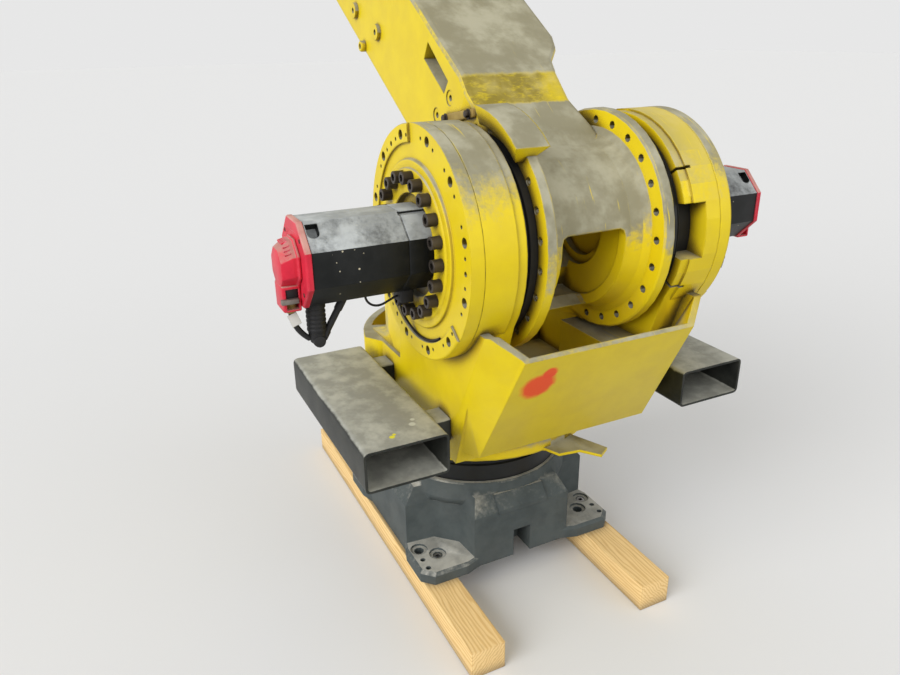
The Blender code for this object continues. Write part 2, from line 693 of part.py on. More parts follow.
def arm_casting(shoulder):
    side = [(-0.150, 0.0), (0.170, 0.0), (0.190, 0.10), (0.198, 0.205), (ARM_FRONT, 0.285)]
    side += [(ARM_FRONT, 1.00), (0.210, 1.10)]
    side += arc((ELBOW_X, ELBOW_Z), ELBOW_EYE, -15, 195, 20)
    side += [(ARM_BACK, 1.08), (ARM_BACK + 0.02, 0.45), (-0.110, 0.25), (-0.145, 0.10)]
    front = [(-0.130, -0.01), (0.128, -0.01), (0.120, 0.12), (0.102, 0.21), (0.096, 0.28)]
    front += [(0.108, 0.325), (0.146, 0.375), (ARM_HALF, 0.42), (ARM_HALF, 1.50)]
    front += [(-ARM_HALF, 1.50), (-ARM_HALF, 0.24), (-0.140, 0.14)]
    item = node("arm_casting", prism(side, -0.3, 0.3, "XZ"), YELLOW, 0.45, 0.1, shoulder)
    combine(item, "INTERSECT", prism(front, -0.5, 0.5, "YZ"))
    soften(item, 0.012)
    slot = rounded_box(0.4, FORK_SLOT, 0.001, 1)
    combine(item, "DIFFERENCE", prism(slot, ELBOW_Z - FORK_DEPTH, ELBOW_Z + 0.3, "XY"))
    hub = (
        (0, -FLANGE_OUTER),
        (FLANGE_RADIUS, -FLANGE_OUTER),
        (FLANGE_RADIUS, -0.004 - FLANGE_INNER),
        (FLANGE_RADIUS - 0.004, -FLANGE_INNER),
        (0.222, 0.001 - FLANGE_INNER),
        (0.208, -0.120),
        (0.197, -0.095),
        (0.197, 0.095),
        (0.208, 0.120),
        (0.222, FLANGE_INNER - 0.001),
        (FLANGE_RADIUS - 0.004, FLANGE_INNER),
        (FLANGE_RADIUS, FLANGE_INNER + 0.004),
        (FLANGE_RADIUS, FLANGE_OUTER),
        (0, FLANGE_OUTER),
    )
    combine(item, "UNION", turned(hub, "Y"))
    tail = ((-0.05, -0.10), (-0.227, -0.131), (-0.250, -0.096), (-0.333, -0.006))
    tail += ((-0.333, 0.060), (-0.115, 0.290), (0.0, 0.200))
    for side in (-1, 1):
        shape = prism(tail, FLANGE_INNER + 0.002, FLANGE_OUTER - 0.002, "XZ")
        combine(item, "UNION", mirrored(shape, side))
    end_wall = 0.088
    cavity = (
        (0, -end_wall - 0.030),
        (0.080, -end_wall - 0.030),
        (0.080, -end_wall - 0.014),
        (0.100, -end_wall - 0.014),
        (0.100, -end_wall),
        (HUB_BORE, -end_wall),
        (HUB_BORE, end_wall),
        (0.100, end_wall),
        (0.100, end_wall + 0.014),
        (0.080, end_wall + 0.014),
        (0.080, end_wall + 0.030),
        (0, end_wall + 0.030),
    )
    combine(item, "DIFFERENCE", turned(cavity, "Y", 32))
    opening = rounded_box(HUB_WINDOW, end_wall - 0.006, 0.014, 2)
    combine(item, "DIFFERENCE", prism(opening, -0.30, -0.02, "XY"))
    for side in (-1, 1):
        rib = [(-0.112, -0.020), (-0.180, -0.038), (-0.180, -0.060), (-0.112, -0.042)]
        combine(item, "UNION", mirrored(prism(rib, end_wall - 0.035, end_wall + 0.005, "XZ"), side))
    rings = []
    for step in range(7):
        turn = math.radians(-8 + 38 * step / 6)
        ring = []
        for radius, across in ((STOP_RADIUS, -0.194), (STOP_RADIUS, -0.115),
                               (0.262, -0.135), (0.246, -0.152), (0.246, -0.180)):
            ring.append((radius * math.cos(turn), across, radius * math.sin(turn)))
        rings.append(ring)
    combine(item, "UNION", lofted(rings))
    slot = ((0.136, 0.328), (0.173, 0.325), (0.185, 0.460), (0.140, 0.460))
    combine(item, "DIFFERENCE", prism(slot, -ARM_HALF - 0.02, 0.065 - ARM_HALF, "XZ"))
    for along, across in ((0.747, 0.027), (0.920, -0.015)):
        boss = arc((across, along), 0.021, 0, 330, 11)
        combine(item, "UNION", prism(boss, -ARM_HALF - 0.010, 0.01 - ARM_HALF, "XZ"))
    for index in range(FLANGE_HOLES):
        angle = math.radians(1.0 + 360 / FLANGE_HOLES * index - ARM_LEAN)
        centre = (FLANGE_CIRCLE * math.cos(angle), FLANGE_CIRCLE * math.sin(angle))
        hole = arc(centre, 0.009, 0, 315, 7)
        combine(item, "DIFFERENCE", prism(hole, FLANGE_INNER - 0.010, FLANGE_OUTER - 0.010, "XZ"))
    tidy(item)


def elbow_group(elbow):
    drum = (
        (0, -FORK_SLOT + CLEARANCE),
        (0.140, -FORK_SLOT + CLEARANCE),
        (0.140, FORK_SLOT - CLEARANCE),
        (0, FORK_SLOT - CLEARANCE),
    )
    item = node("elbow_casting", turned(drum, "Y"), YELLOW, 0.45, 0.1, elbow)
    rings = []
    for along, half, lift in ((-0.310, 0.092, 0.03), (-0.200, 0.104, 0.02), (0.0, 0.106, 0.0),
                              (0.160, 0.106, 0.0), (0.300, 0.106, 0.0)):
        rings.append([(along, u, v + lift) for u, v in rounded_box(half, half + 0.010, 0.030)])
    combine(item, "UNION", lofted(rings))
    tidy(item)
    rings = []
    for along, half, corner in ((0.300 + CLEARANCE, 0.104, 0.030), (0.420, 0.096, 0.040),
                                (0.800, 0.086, 0.045), (FOREARM_END, 0.082, 0.060)):
        rings.append([(along, u, v) for u, v in rounded_box(half, half, corner)])
    node("forearm_tube", lofted(rings), YELLOW, 0.45, 0.1, elbow)
    names = ("wrist_motor_right", "wrist_motor_middle", "wrist_motor_left")
    for name, across, lift in zip(names, (-0.050, 0.0, 0.050), (-0.012, 0.078, -0.012)):
        rings = []
        for flats, reach in ((0.090, 0), (0.090, 0.130), (0.080, 0.134), (0.070, 0.165)):
            ring = shifted(octagon(flats), across, lift + 0.005)
            rings.append([(-0.310 - CLEARANCE - reach, u, v) for u, v in ring])
        node(name, lofted(rings), BLACK, 0.45, 0.4, elbow)
    seat = ARM_HALF + CLEARANCE
    body = mirrored(prism(octagon(MOTOR_FLATS - 0.02), seat, seat + 0.190, "XZ"), -1)
    soften(node("elbow_motor", body, BLACK, 0.45, 0.4, elbow), 0.002, 1)
    rings = []
    for flats, reach in ((0.158, 0), (0.158, 0.013), (0.104, 0.015), (0.098, 0.040), (0.070, 0.052)):
        start = seat + 0.190 + CLEARANCE + reach
        rings.append([(u, start, v) for u, v in octagon(flats)])
    node("elbow_motor_cap", mirrored(lofted(rings), -1), RED, 0.4, 0.2, elbow)
    cover = ((0, seat), (0.120, seat), (0.120, seat + 0.012), (0.108, seat + 0.022), (0, seat + 0.022))
    node("elbow_cover", turned(cover, "Y", 28), YELLOW, 0.45, 0.1, elbow)


def wrist_group(elbow):
    neck = (
        (0, FOREARM_END + CLEARANCE),
        (0.080, FOREARM_END + CLEARANCE),
        (0.080, FOREARM_END + 0.030),
        (0.074, FOREARM_END + 0.036),
        (0.074, WRIST_END - 0.006),
        (0.068, WRIST_END),
        (0, WRIST_END),
    )
    node("wrist_neck", turned(neck, "X", 24), YELLOW, 0.45, 0.1, elbow)
    flange_back = FLANGE_FACE - 0.030
    outline = arc((WRIST_END + 0.065, 0), 0.078, 130, -130, 14)
    outline = [(WRIST_END + CLEARANCE, -0.060)] + outline[::-1] + [(WRIST_END + CLEARANCE, 0.060)]
    outline = [(min(x, flange_back - CLEARANCE), z) for x, z in outline]
    node("wrist_hinge", prism(outline, -0.070, 0.070, "XZ"), YELLOW, 0.45, 0.1, elbow)
    flange = (
        (0, flange_back),
        (0.052, flange_back),
        (0.052, flange_back + 0.012),
        (0.080, flange_back + 0.014),
        (0.080, FLANGE_FACE),
        (0, FLANGE_FACE),
    )
    item = node("tool_flange", turned(flange, "X", 24), STEEL, 0.35, 0.8, elbow)
    for index in range(8):
        angle = math.radians(45 * index)
        centre = (0.0625 * math.cos(angle), 0.0625 * math.sin(angle))
        hole = arc(centre, 0.005, 0, 315, 7)
        combine(item, "DIFFERENCE", prism(hole, FLANGE_FACE - 0.012, FLANGE_FACE + 0.01, "YZ"))
    tidy(item)


def main():
    clear_scene()
    timbers()
    base_casting()
    slew_ring()
    connector_box()
    slew = axis_empty("slew_axis", (0, 0, 0))
    carriage_casting(slew)
    for side, hand in ((-1, "right"), (1, "left")):
        shoulder_side(slew, side, hand)
        shoulder_motor(slew, side, hand)
        fork_tube(slew, side, hand)
    slew_motor(slew)
    shoulder = axis_empty("shoulder_axis", (SHOULDER_X, 0, SHOULDER_Z), slew)
    shoulder.rotation_euler = (0, math.radians(-ARM_LEAN), 0)
    arm_casting(shoulder)
    elbow = axis_empty("elbow_axis", (ELBOW_X, 0, ELBOW_Z), shoulder)
    elbow.rotation_euler = (0, math.radians(ARM_LEAN - FOREARM_RISE), 0)
    elbow_group(elbow)
    wrist_group(elbow)


main()
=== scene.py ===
"""Used robot arm on two timbers, with worn yellow paint, dust and fastenings.

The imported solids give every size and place. Castings are softened copies of
them, and the round covers, motors, screws and leads are modelled here.
"""

import json
import math

import bmesh
import bpy
from mathutils import Matrix, Vector

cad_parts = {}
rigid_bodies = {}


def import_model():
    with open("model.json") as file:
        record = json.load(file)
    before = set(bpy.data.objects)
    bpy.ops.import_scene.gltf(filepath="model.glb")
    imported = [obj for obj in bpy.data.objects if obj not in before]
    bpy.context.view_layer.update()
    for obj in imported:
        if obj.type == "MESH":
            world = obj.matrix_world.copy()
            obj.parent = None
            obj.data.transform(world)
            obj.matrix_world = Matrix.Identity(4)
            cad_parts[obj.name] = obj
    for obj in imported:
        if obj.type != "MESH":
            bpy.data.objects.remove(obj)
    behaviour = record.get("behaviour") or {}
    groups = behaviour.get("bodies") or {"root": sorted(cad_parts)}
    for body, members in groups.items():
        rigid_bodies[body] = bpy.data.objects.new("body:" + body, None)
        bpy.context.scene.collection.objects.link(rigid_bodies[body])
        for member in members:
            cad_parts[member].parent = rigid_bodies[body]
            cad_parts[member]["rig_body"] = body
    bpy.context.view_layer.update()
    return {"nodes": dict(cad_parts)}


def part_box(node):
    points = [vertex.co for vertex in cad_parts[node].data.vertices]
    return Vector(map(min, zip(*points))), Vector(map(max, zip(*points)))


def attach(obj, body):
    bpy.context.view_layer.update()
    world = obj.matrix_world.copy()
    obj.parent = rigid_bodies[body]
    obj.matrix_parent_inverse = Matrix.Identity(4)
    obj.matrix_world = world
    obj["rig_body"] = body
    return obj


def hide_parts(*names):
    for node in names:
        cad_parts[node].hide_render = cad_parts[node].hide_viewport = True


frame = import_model()

# Shared places, in metres
FLOOR = -0.080
SHOULDER = Vector((0.360, 0.0, 0.980))
ARM_LEAN = math.radians(57.0)
FLANGE_FACE = 0.160
FLANGE_CIRCLE = 0.2345
CAP_BACK = 0.2963
CAP_FACE = 0.333
CAP_RADIUS = 0.2555
DISC_FACE = 0.338
MOTOR_SEAT = 0.3223
MOTOR_END = 0.585
MOTOR_HALF = 0.087
ARM_FRAME = Matrix.Translation(SHOULDER) @ Matrix.Rotation(-ARM_LEAN, 4, "Y")
ELBOW_FRAME = ARM_FRAME @ Matrix.Translation((0.060, 0, 1.280)) @ Matrix.Rotation(math.radians(47), 4, "Y")
SIDES = (("right", -1), ("left", 1))


# Camera

def place_camera():
    """Camera at the photograph's place and angle."""
    yaw, pitch, roll = (math.radians(a) for a in (25.765306, 22.339869, -0.860006))
    ahead = Vector((-math.cos(yaw), math.sin(yaw), 0.0))
    forward = ahead * math.cos(pitch) - Vector((0, 0, math.sin(pitch)))
    right = forward.cross(Vector((0, 0, 1))).normalized()
    up = right.cross(forward)
    turned_right = right * math.cos(roll) + up * math.sin(roll)
    turned_up = up * math.cos(roll) - right * math.sin(roll)
    pose = Matrix((turned_right, turned_up, -forward)).transposed().to_4x4()
    pose.translation = Vector((1.800826, -0.946037, 1.404384))
    bpy.ops.object.camera_add()
    camera = bpy.context.active_object
    camera.name = "camera"
    camera.matrix_world = pose
    camera.data.sensor_width = 36.0
    camera.data.lens = 29.6186
    camera.data.clip_end = 60.0
    bpy.context.scene.camera = camera


# Node boards

def put(tree, kind, inputs=None, **settings):
    """Add a shader node; an input is a value or another node's output."""
    node = tree.nodes.new(kind)
    for name, value in settings.items():
        setattr(node, name, value)
    for key, value in (inputs or {}).items():
        socket = node.inputs[key]
        if isinstance(value, bpy.types.NodeSocket):
            tree.links.new(value, socket)
        elif socket.type == "RGBA" and len(value) == 3:
            socket.default_value = (*value, 1.0)
        else:
            socket.default_value = value
    return node


def maths(tree, operation, first, second=0.5):
    return put(tree, "ShaderNodeMath", {0: first, 1: second}, operation=operation).outputs[0]


def ramp(tree, value, low, high, start=0.0, end=1.0):
    """Smooth step from start to end while value goes from low to high."""
    inputs = {"Value": value, "From Min": low, "From Max": high, "To Min": start, "To Max": end}
    return put(tree, "ShaderNodeMapRange", inputs, interpolation_type="SMOOTHSTEP").outputs[0]


def blend_colour(tree, share, under, over):
    inputs = {"Factor": share, "A": under, "B": over}
    return put(tree, "ShaderNodeMix", inputs, data_type="RGBA").outputs["Result"]


def own_place(tree):
    return put(tree, "ShaderNodeTexCoord").outputs["Object"]


def split(tree, vector):
    return put(tree, "ShaderNodeSeparateXYZ", {0: vector}).outputs


def own_facing(tree):
    """The way a face looks, in its piece's own frame."""
    return split(tree, put(tree, "ShaderNodeTexCoord").outputs["Normal"])


def place_on_piece(tree, stretch=(1.0, 1.0, 1.0)):
    return put(tree, "ShaderNodeMapping", {"Vector": own_place(tree), "Scale": stretch}).outputs[0]


def cloud(tree, spot, scale, detail=4.0, rough=0.6):
    inputs = {"Vector": spot, "Scale": scale, "Detail": detail, "Roughness": rough}
    return put(tree, "ShaderNodeTexNoise", inputs).outputs["Fac"]


def new_group(name, ins, outs):
    """Shader node group with named float inputs and outputs."""
    tree = bpy.data.node_groups.new(name, "ShaderNodeTree")
    for label, value in ins:
        socket = tree.interface.new_socket(name=label, in_out="INPUT", socket_type="NodeSocketFloat")
        socket.default_value = value
    for label in outs:
        kind = "NodeSocketVector" if label == "Rounded" else "NodeSocketFloat"
        tree.interface.new_socket(name=label, in_out="OUTPUT", socket_type=kind)
    entry = tree.nodes.new("NodeGroupInput")
    leave = tree.nodes.new("NodeGroupOutput")
    return tree, entry.outputs, leave.inputs


def build_dust_cover():
    """Patchy dust on faces that look up, and with Forward also on those that look ahead."""
    tree, given, result = new_group(
        "dust_cover", (("Low", 0.25), ("High", 0.75), ("Patches", 6.0), ("Forward", 0.0)), ("Mask", "Film"))
    facing = own_facing(tree)
    lift = maths(tree, "ADD", facing["Z"], maths(tree, "MULTIPLY", facing["X"], given["Forward"]))
    spot = place_on_piece(tree)
    broad = cloud(tree, spot, given["Patches"], 5.0, 0.65)
    fine = cloud(tree, spot, 90.0, 3.0, 0.7)
    wander = maths(tree, "MULTIPLY", maths(tree, "SUBTRACT", broad, 0.5), 0.9)
    wander = maths(tree, "ADD", wander, maths(tree, "MULTIPLY", maths(tree, "SUBTRACT", fine, 0.5), 0.35))
    level = maths(tree, "ADD", lift, wander)
    tree.links.new(ramp(tree, level, given["Low"], given["High"]), result["Mask"])
    tree.links.new(ramp(tree, broad, 0.35, 0.75), result["Film"])
    return tree


def build_edge_wear_and_shade():
    """Outer edges and corners, where paint and dust are rubbed, and hollows darkened by occlusion, for dirt
    and painted shade.
    """
    tree, given, result = new_group(
        "edge_wear_and_shade", (("Width", 0.004), ("Patches", 14.0)), ("Mask", "Hollow Dirt And Shade", "Rounded"))
    round_normal = put(tree, "ShaderNodeBevel", {"Radius": given["Width"]}, samples=4).outputs[0]
    flat_normal = put(tree, "ShaderNodeNewGeometry").outputs["Normal"]
    same = put(tree, "ShaderNodeVectorMath", {0: round_normal, 1: flat_normal},
               operation="DOT_PRODUCT").outputs["Value"]
    sharp = maths(tree, "SUBTRACT", 1.0, same)
    patches = cloud(tree, place_on_piece(tree), given["Patches"], 6.0, 0.7)
    worn = maths(tree, "MULTIPLY", ramp(tree, sharp, 0.02, 0.14), ramp(tree, patches, 0.38, 0.58))
    # Occlusion mask: hollows and gaps between parts get dirt and painted shade
    shade = put(tree, "ShaderNodeAmbientOcclusion", {"Distance": 0.04}, samples=6).outputs["AO"]
    tree.links.new(worn, result["Mask"])
    tree.links.new(round_normal, result["Rounded"])
    tree.links.new(ramp(tree, shade, 0.45, 0.95, 1.0, 0.0), result["Hollow Dirt And Shade"])
    return tree


def build_grain():
    """Fine unevenness of a cast or painted surface."""
    tree, given, result = new_group("grain", (("Scale", 300.0),), ("Height", "Shade", "Specks"))
    spot = own_place(tree)
    fine = cloud(tree, spot, given["Scale"], 3.0, 0.6)
    broad = cloud(tree, spot, maths(tree, "MULTIPLY", given["Scale"], 0.04), 4.0, 0.6)
    height = maths(tree, "ADD", fine, maths(tree, "MULTIPLY", broad, 0.8))
    tree.links.new(height, result["Height"])
    tree.links.new(ramp(tree, broad, 0.3, 0.7), result["Shade"])
    dots = put(tree, "ShaderNodeTexVoronoi", {"Vector": spot, "Scale": 60.0}).outputs["Distance"]
    spread = cloud(tree, spot, 7.0, 2.0, 0.5)
    size = ramp(tree, spread, 0.46, 0.72, 0.0, 0.20)
    tree.links.new(maths(tree, "LESS_THAN", dots, size), result["Specks"])
    return tree


def build_scratches():
    """Thin scuffs that run along one direction and fade in patches."""
    tree, given, result = new_group("scratches", (), ("Mask",))
    spot = own_place(tree)
    total = None
    for turn, stretch in ((0.5, 40.0), (-0.9, 55.0)):
        lean = put(tree, "ShaderNodeMapping", {"Vector": spot, "Rotation": (turn, turn * 0.6, turn),
                                               "Scale": (2.0, stretch, 3.0)}).outputs[0]
        line = ramp(tree, cloud(tree, lean, 3.0, 3.0, 0.55), 0.66, 0.72)
        total = line if total is None else maths(tree, "MAXIMUM", total, line)
    where = ramp(tree, cloud(tree, spot, 5.0, 2.0, 0.5), 0.45, 0.65)
    tree.links.new(maths(tree, "MULTIPLY", total, where), result["Mask"])
    return tree


GROUPS = {
    "dust": build_dust_cover(),
    "edge": build_edge_wear_and_shade(),
    "grain": build_grain(),
    "scratches": build_scratches(),
}


def use(tree, group, **inputs):
    node = tree.nodes.new("ShaderNodeGroup")
    node.node_tree = GROUPS[group]
    for name, value in inputs.items():
        node.inputs[name].default_value = value
    return node.outputs


def new_material(name):
    material = bpy.data.materials.new(name)
    material.use_nodes = True
    tree = material.node_tree
    return material, tree, tree.nodes["Principled BSDF"]


def finish_surface(tree, surface, colour, rough, height, strength, distance, rounded):
    tree.links.new(colour, surface.inputs["Base Color"])
    tree.links.new(rough, surface.inputs["Roughness"])
    bump = put(tree, "ShaderNodeBump", {"Height": height, "Strength": strength,
                                        "Distance": distance, "Normal": rounded}).outputs[0]
    tree.links.new(bump, surface.inputs["Normal"])


DUST = (0.25, 0.24, 0.185)
PALE_DUST = (0.43, 0.42, 0.335)
BRIGHT_YELLOW = (0.86, 0.66, 0.006)
DULL_YELLOW = (0.72, 0.52, 0.010)
# Ochre and near black darken hollows: dirt and painted shade
SHADED_OCHRE = (0.42, 0.27, 0.006)
SOOT_AND_SHADE = (0.045, 0.035, 0.012)


def painted_casting(name, dust_low=0.30, dust_high=0.72, patches=6.0, marks=(), band=None, thin=1.0,
                    forward=0.0):
    """Yellow paint over cast iron with dust, dirt and painted shade in hollows, and bare rubbed edges.

    A band is where something chafed: a start and end along the arm from the shoulder.
    Thin is the share of the dust that lies on the far side. Forward is how far dust
    also holds on faces that look to the front.
    """
    material, tree, surface = new_material(name)
    grain = use(tree, "grain", Scale=320.0)
    dust = use(tree, "dust", Low=dust_low, High=dust_high, Patches=patches, Forward=forward)
    edge = use(tree, "edge", Width=0.005)
    scuffs = use(tree, "scratches")
    surface.inputs["Specular IOR Level"].default_value = 0.30
    colour = blend_colour(tree, maths(tree, "MULTIPLY", grain["Shade"], 0.45), BRIGHT_YELLOW, DULL_YELLOW)
    # Hollows go ochre, then near black, by occlusion: dirt and painted shade
    colour = blend_colour(tree, ramp(tree, edge["Hollow Dirt And Shade"], 0.05, 0.65, 0.0, 0.9), colour, SHADED_OCHRE)
    colour = blend_colour(tree, ramp(tree, edge["Hollow Dirt And Shade"], 0.74, 1.0, 0.0, 0.85), colour, SOOT_AND_SHADE)
    rubbed = maths(tree, "MAXIMUM", edge["Mask"], scuffs["Mask"])
    kept = maths(tree, "MULTIPLY", dust["Mask"], maths(tree, "SUBTRACT", 1.0, rubbed))
    across = split(tree, place_on_piece(tree))["Y"]
    kept = maths(tree, "MULTIPLY", kept, ramp(tree, across, 0.12, 0.30, 0.94, 0.94 * thin))
    if band:
        chafed, streak = chafed_band(tree, *band)
        kept = maths(tree, "MULTIPLY", kept, maths(tree, "SUBTRACT", 1.0, chafed))
        colour = blend_colour(tree, maths(tree, "MULTIPLY", chafed, streak), colour, (0.26, 0.20, 0.025))
    film = maths(tree, "MULTIPLY", dust["Film"], 0.05)
    kept = maths(tree, "MAXIMUM", kept, film)
    shade = ramp(tree, maths(tree, "ADD", grain["Shade"], dust["Film"]), 0.2, 1.7)
    colour = blend_colour(tree, kept, colour, blend_colour(tree, shade, DUST, PALE_DUST))
    for centre, radius, tint in marks:
        colour = spray_mark(tree, colour, centre, radius, tint)
    rough = maths(tree, "ADD", maths(tree, "MULTIPLY", kept, 0.45), 0.38)
    height = maths(tree, "ADD", grain["Height"], maths(tree, "MULTIPLY", kept, 0.6))
    finish_surface(tree, surface, colour, rough, height, 0.25, 0.0006, edge["Rounded"])
    return material


def chafed_band(tree, start, end):
    """Share of dust rubbed away on a band across the arm, and its dark streaks."""
    spot = own_place(tree)
    away = put(tree, "ShaderNodeVectorMath", {0: spot, 1: tuple(SHOULDER)}, operation="SUBTRACT").outputs[0]
    along = put(tree, "ShaderNodeVectorMath", {0: away, 1: (-math.sin(ARM_LEAN), 0, math.cos(ARM_LEAN))},
                operation="DOT_PRODUCT").outputs["Value"]
    ragged = maths(tree, "ADD", along, maths(tree, "MULTIPLY", cloud(tree, spot, 60.0, 4.0, 0.7), 0.016))
    inside = maths(tree, "MULTIPLY", ramp(tree, ragged, start, start + 0.008),
                   ramp(tree, ragged, end - 0.012, end, 1.0, 0.0))
    drawn = put(tree, "ShaderNodeMapping", {"Vector": spot, "Scale": (1.0, 0.35, 1.0)}).outputs[0]
    drift = maths(tree, "MULTIPLY", cloud(tree, spot, 20.0), 0.10)
    bright = ramp(tree, maths(tree, "ADD", split(tree, spot)["Y"], drift), 0.08, 0.12)
    streak = ramp(tree, cloud(tree, drawn, 85.0, 5.0, 0.75), 0.34, 0.54, 0.55, 1.0)
    dimmed = maths(tree, "SUBTRACT", 1.0, maths(tree, "MULTIPLY", bright, 0.6))
    streak = maths(tree, "MULTIPLY", streak, dimmed)
    worn = ramp(tree, cloud(tree, spot, 16.0, 3.0, 0.6), 0.25, 0.6, 0.60, 1.0)
    upward = ramp(tree, own_facing(tree)["Z"], 0.25, 0.45)
    return maths(tree, "MULTIPLY", maths(tree, "MULTIPLY", inside, worn), upward), streak


def spray_mark(tree, colour, centre, radius, tint):
    """Round blot of sprayed paint with an uneven rim."""
    spot = own_place(tree)
    away = put(tree, "ShaderNodeVectorMath", {0: spot, 1: centre}, operation="DISTANCE").outputs["Value"]
    uneven = maths(tree, "SUBTRACT", cloud(tree, spot, 45.0, 3.0, 0.6), 0.5)
    away = maths(tree, "ADD", away, maths(tree, "MULTIPLY", uneven, radius * 0.35))
    share = ramp(tree, away, radius * 0.70, radius * 1.12, 0.97, 0.0)
    return blend_colour(tree, share, colour, tint)


def painted_metal(name, colour, other, rough=0.5, metallic=0.0, dust_high=0.8, specks=None,
                  dust_colour=DUST, grain_scale=400.0, cover=0.9, strength=0.3, worn=None, film=0.05,
                  marks=()):
    """Dark painted or bare metal with dust above, pale specks and rubbed edges."""
    material, tree, surface = new_material(name)
    surface.inputs["Metallic"].default_value = metallic
    surface.inputs["Specular IOR Level"].default_value = 0.18
    grain = use(tree, "grain", Scale=grain_scale)
    dust = use(tree, "dust", Low=dust_high - 0.42, High=dust_high, Patches=9.0)
    edge = use(tree, "edge", Width=0.003)
    tone = blend_colour(tree, grain["Shade"], colour, other)
    if worn:
        tone = blend_colour(tree, maths(tree, "MULTIPLY", edge["Mask"], 0.8), tone, worn)
    if specks:
        tone = blend_colour(tree, grain["Specks"], tone, specks)
    kept = maths(tree, "MULTIPLY", dust["Mask"], cover)
    kept = maths(tree, "MULTIPLY", kept, maths(tree, "SUBTRACT", 1.0, edge["Mask"]))
    kept = maths(tree, "MAXIMUM", kept, maths(tree, "MULTIPLY", dust["Film"], film))
    pale = tuple(min(0.8, channel * 1.22) for channel in dust_colour)
    deep = tuple(channel * 0.80 for channel in dust_colour)
    shade = ramp(tree, maths(tree, "ADD", grain["Shade"], dust["Film"]), 0.3, 1.6)
    tone = blend_colour(tree, kept, tone, blend_colour(tree, shade, deep, pale))
    for centre, radius, tint in marks:
        tone = spray_mark(tree, tone, centre, radius, tint)
    level = maths(tree, "ADD", maths(tree, "MULTIPLY", kept, 0.35), rough)
    finish_surface(tree, surface, tone, level, grain["Height"], strength, 0.0005, edge["Rounded"])
    return material


def sawn_pine(name):
    """Pine with long grain, rings on the sawn ends, patchy dirt and corners darkened with dirt and painted
    shade.
    """
    material, tree, surface = new_material(name)
    spot = own_place(tree)
    drift = cloud(tree, place_on_piece(tree, (1.2, 6.0, 6.0)), 2.5, 3.0, 0.5)
    parts = split(tree, spot)
    radius = maths(tree, "ADD", maths(tree, "ADD", parts["Z"], 0.20), maths(tree, "MULTIPLY", drift, 0.06))
    across = put(tree, "ShaderNodeCombineXYZ",
                 {0: maths(tree, "MULTIPLY", parts["X"], 0.02),
                  1: maths(tree, "ABSOLUTE", parts["Y"]), 2: radius}).outputs[0]
    bands = put(tree, "ShaderNodeTexWave", {"Vector": across, "Scale": 40.0, "Distortion": 3.0,
                                            "Detail": 3.0, "Detail Scale": 1.4},
                wave_type="RINGS", rings_direction="X").outputs["Fac"]
    fibre = cloud(tree, place_on_piece(tree, (3.0, 90.0, 90.0)), 3.0, 4.0, 0.7)
    late_wood = ramp(tree, bands, 0.3, 1.0, 0.0, 0.75)
    colour = blend_colour(tree, late_wood, (0.96, 0.68, 0.31), (0.74, 0.46, 0.16))
    colour = blend_colour(tree, ramp(tree, fibre, 0.50, 0.75, 0.0, 0.40), colour, (0.46, 0.28, 0.12))
    edge = use(tree, "edge", Width=0.006)
    # Corners darkened by occlusion: dirt and painted shade
    colour = blend_colour(tree, maths(tree, "MULTIPLY", edge["Hollow Dirt And Shade"], 0.6), colour, (0.16, 0.12, 0.08))
    dirt = ramp(tree, cloud(tree, spot, 9.0, 5.0, 0.7), 0.58, 0.85, 0.0, 0.40)
    colour = blend_colour(tree, dirt, colour, (0.36, 0.27, 0.17))
    rough = ramp(tree, fibre, 0.2, 0.8, 0.65, 0.85)
    finish_surface(tree, surface, colour, rough, maths(tree, "ADD", bands, fibre), 0.35, 0.0008,
                   edge["Rounded"])
    return material


def plain_finish(name, colour, other, rough, metallic=0.0, scale=500.0):
    """Small parts: two close tones, fine grain, and dirt and painted shade in hollows."""
    material, tree, surface = new_material(name)
    surface.inputs["Metallic"].default_value = metallic
    surface.inputs["Specular IOR Level"].default_value = 0.3
    grain = use(tree, "grain", Scale=scale)
    edge = use(tree, "edge", Width=0.002)
    tone = blend_colour(tree, grain["Shade"], colour, other)
    # Hollows darkened to a third of the tone by occlusion: dirt and painted shade
    dark = tuple(channel * 0.35 for channel in colour)
    tone = blend_colour(tree, maths(tree, "MULTIPLY", edge["Hollow Dirt And Shade"], 0.6), tone, dark)
    level = maths(tree, "ADD", maths(tree, "MULTIPLY", grain["Shade"], 0.12), rough)
    finish_surface(tree, surface, tone, level, grain["Height"], 0.15, 0.0003, edge["Rounded"])
    return material


FRONT_BLOT = ((0.6046, -0.1609, 0.7040), 0.044, (1.0, 0.060, 0.002))
BLOT_TAIL = ((0.616, -0.143, 0.742), 0.020, (1.0, 0.070, 0.003))
YELLOW = painted_casting("worn_yellow")
YELLOW_ARM = painted_casting("worn_yellow_arm", 0.18, 0.50, band=(0.206, 0.294), forward=0.42)
YELLOW_HULL = painted_casting("worn_yellow_hull", marks=(BLOT_TAIL, FRONT_BLOT), thin=0.35)
TUBE_SPECKS = (
    ((0.478, -0.451, 0.5946), 0.0070, (0.80, 0.74, 0.05)),
    ((0.470, -0.443, 0.5946), 0.0045, (0.80, 0.74, 0.05)),
    ((0.445, -0.389, 0.5946), 0.0085, (0.62, 0.63, 0.56)),
    ((0.425, -0.380, 0.5946), 0.0060, (0.62, 0.63, 0.56)),
)
BASE_PAINT = painted_metal("grey_base_paint", (0.080, 0.095, 0.095), (0.058, 0.070, 0.071), 0.55,
                           dust_colour=(0.47, 0.46, 0.41), cover=0.84, dust_high=1.00)
TUBE_STEEL = painted_metal("tube_steel", (0.020, 0.022, 0.020), (0.040, 0.042, 0.036), 0.45, 0.3,
                           dust_colour=(0.43, 0.43, 0.375), cover=0.97, film=0.03, marks=TUBE_SPECKS)
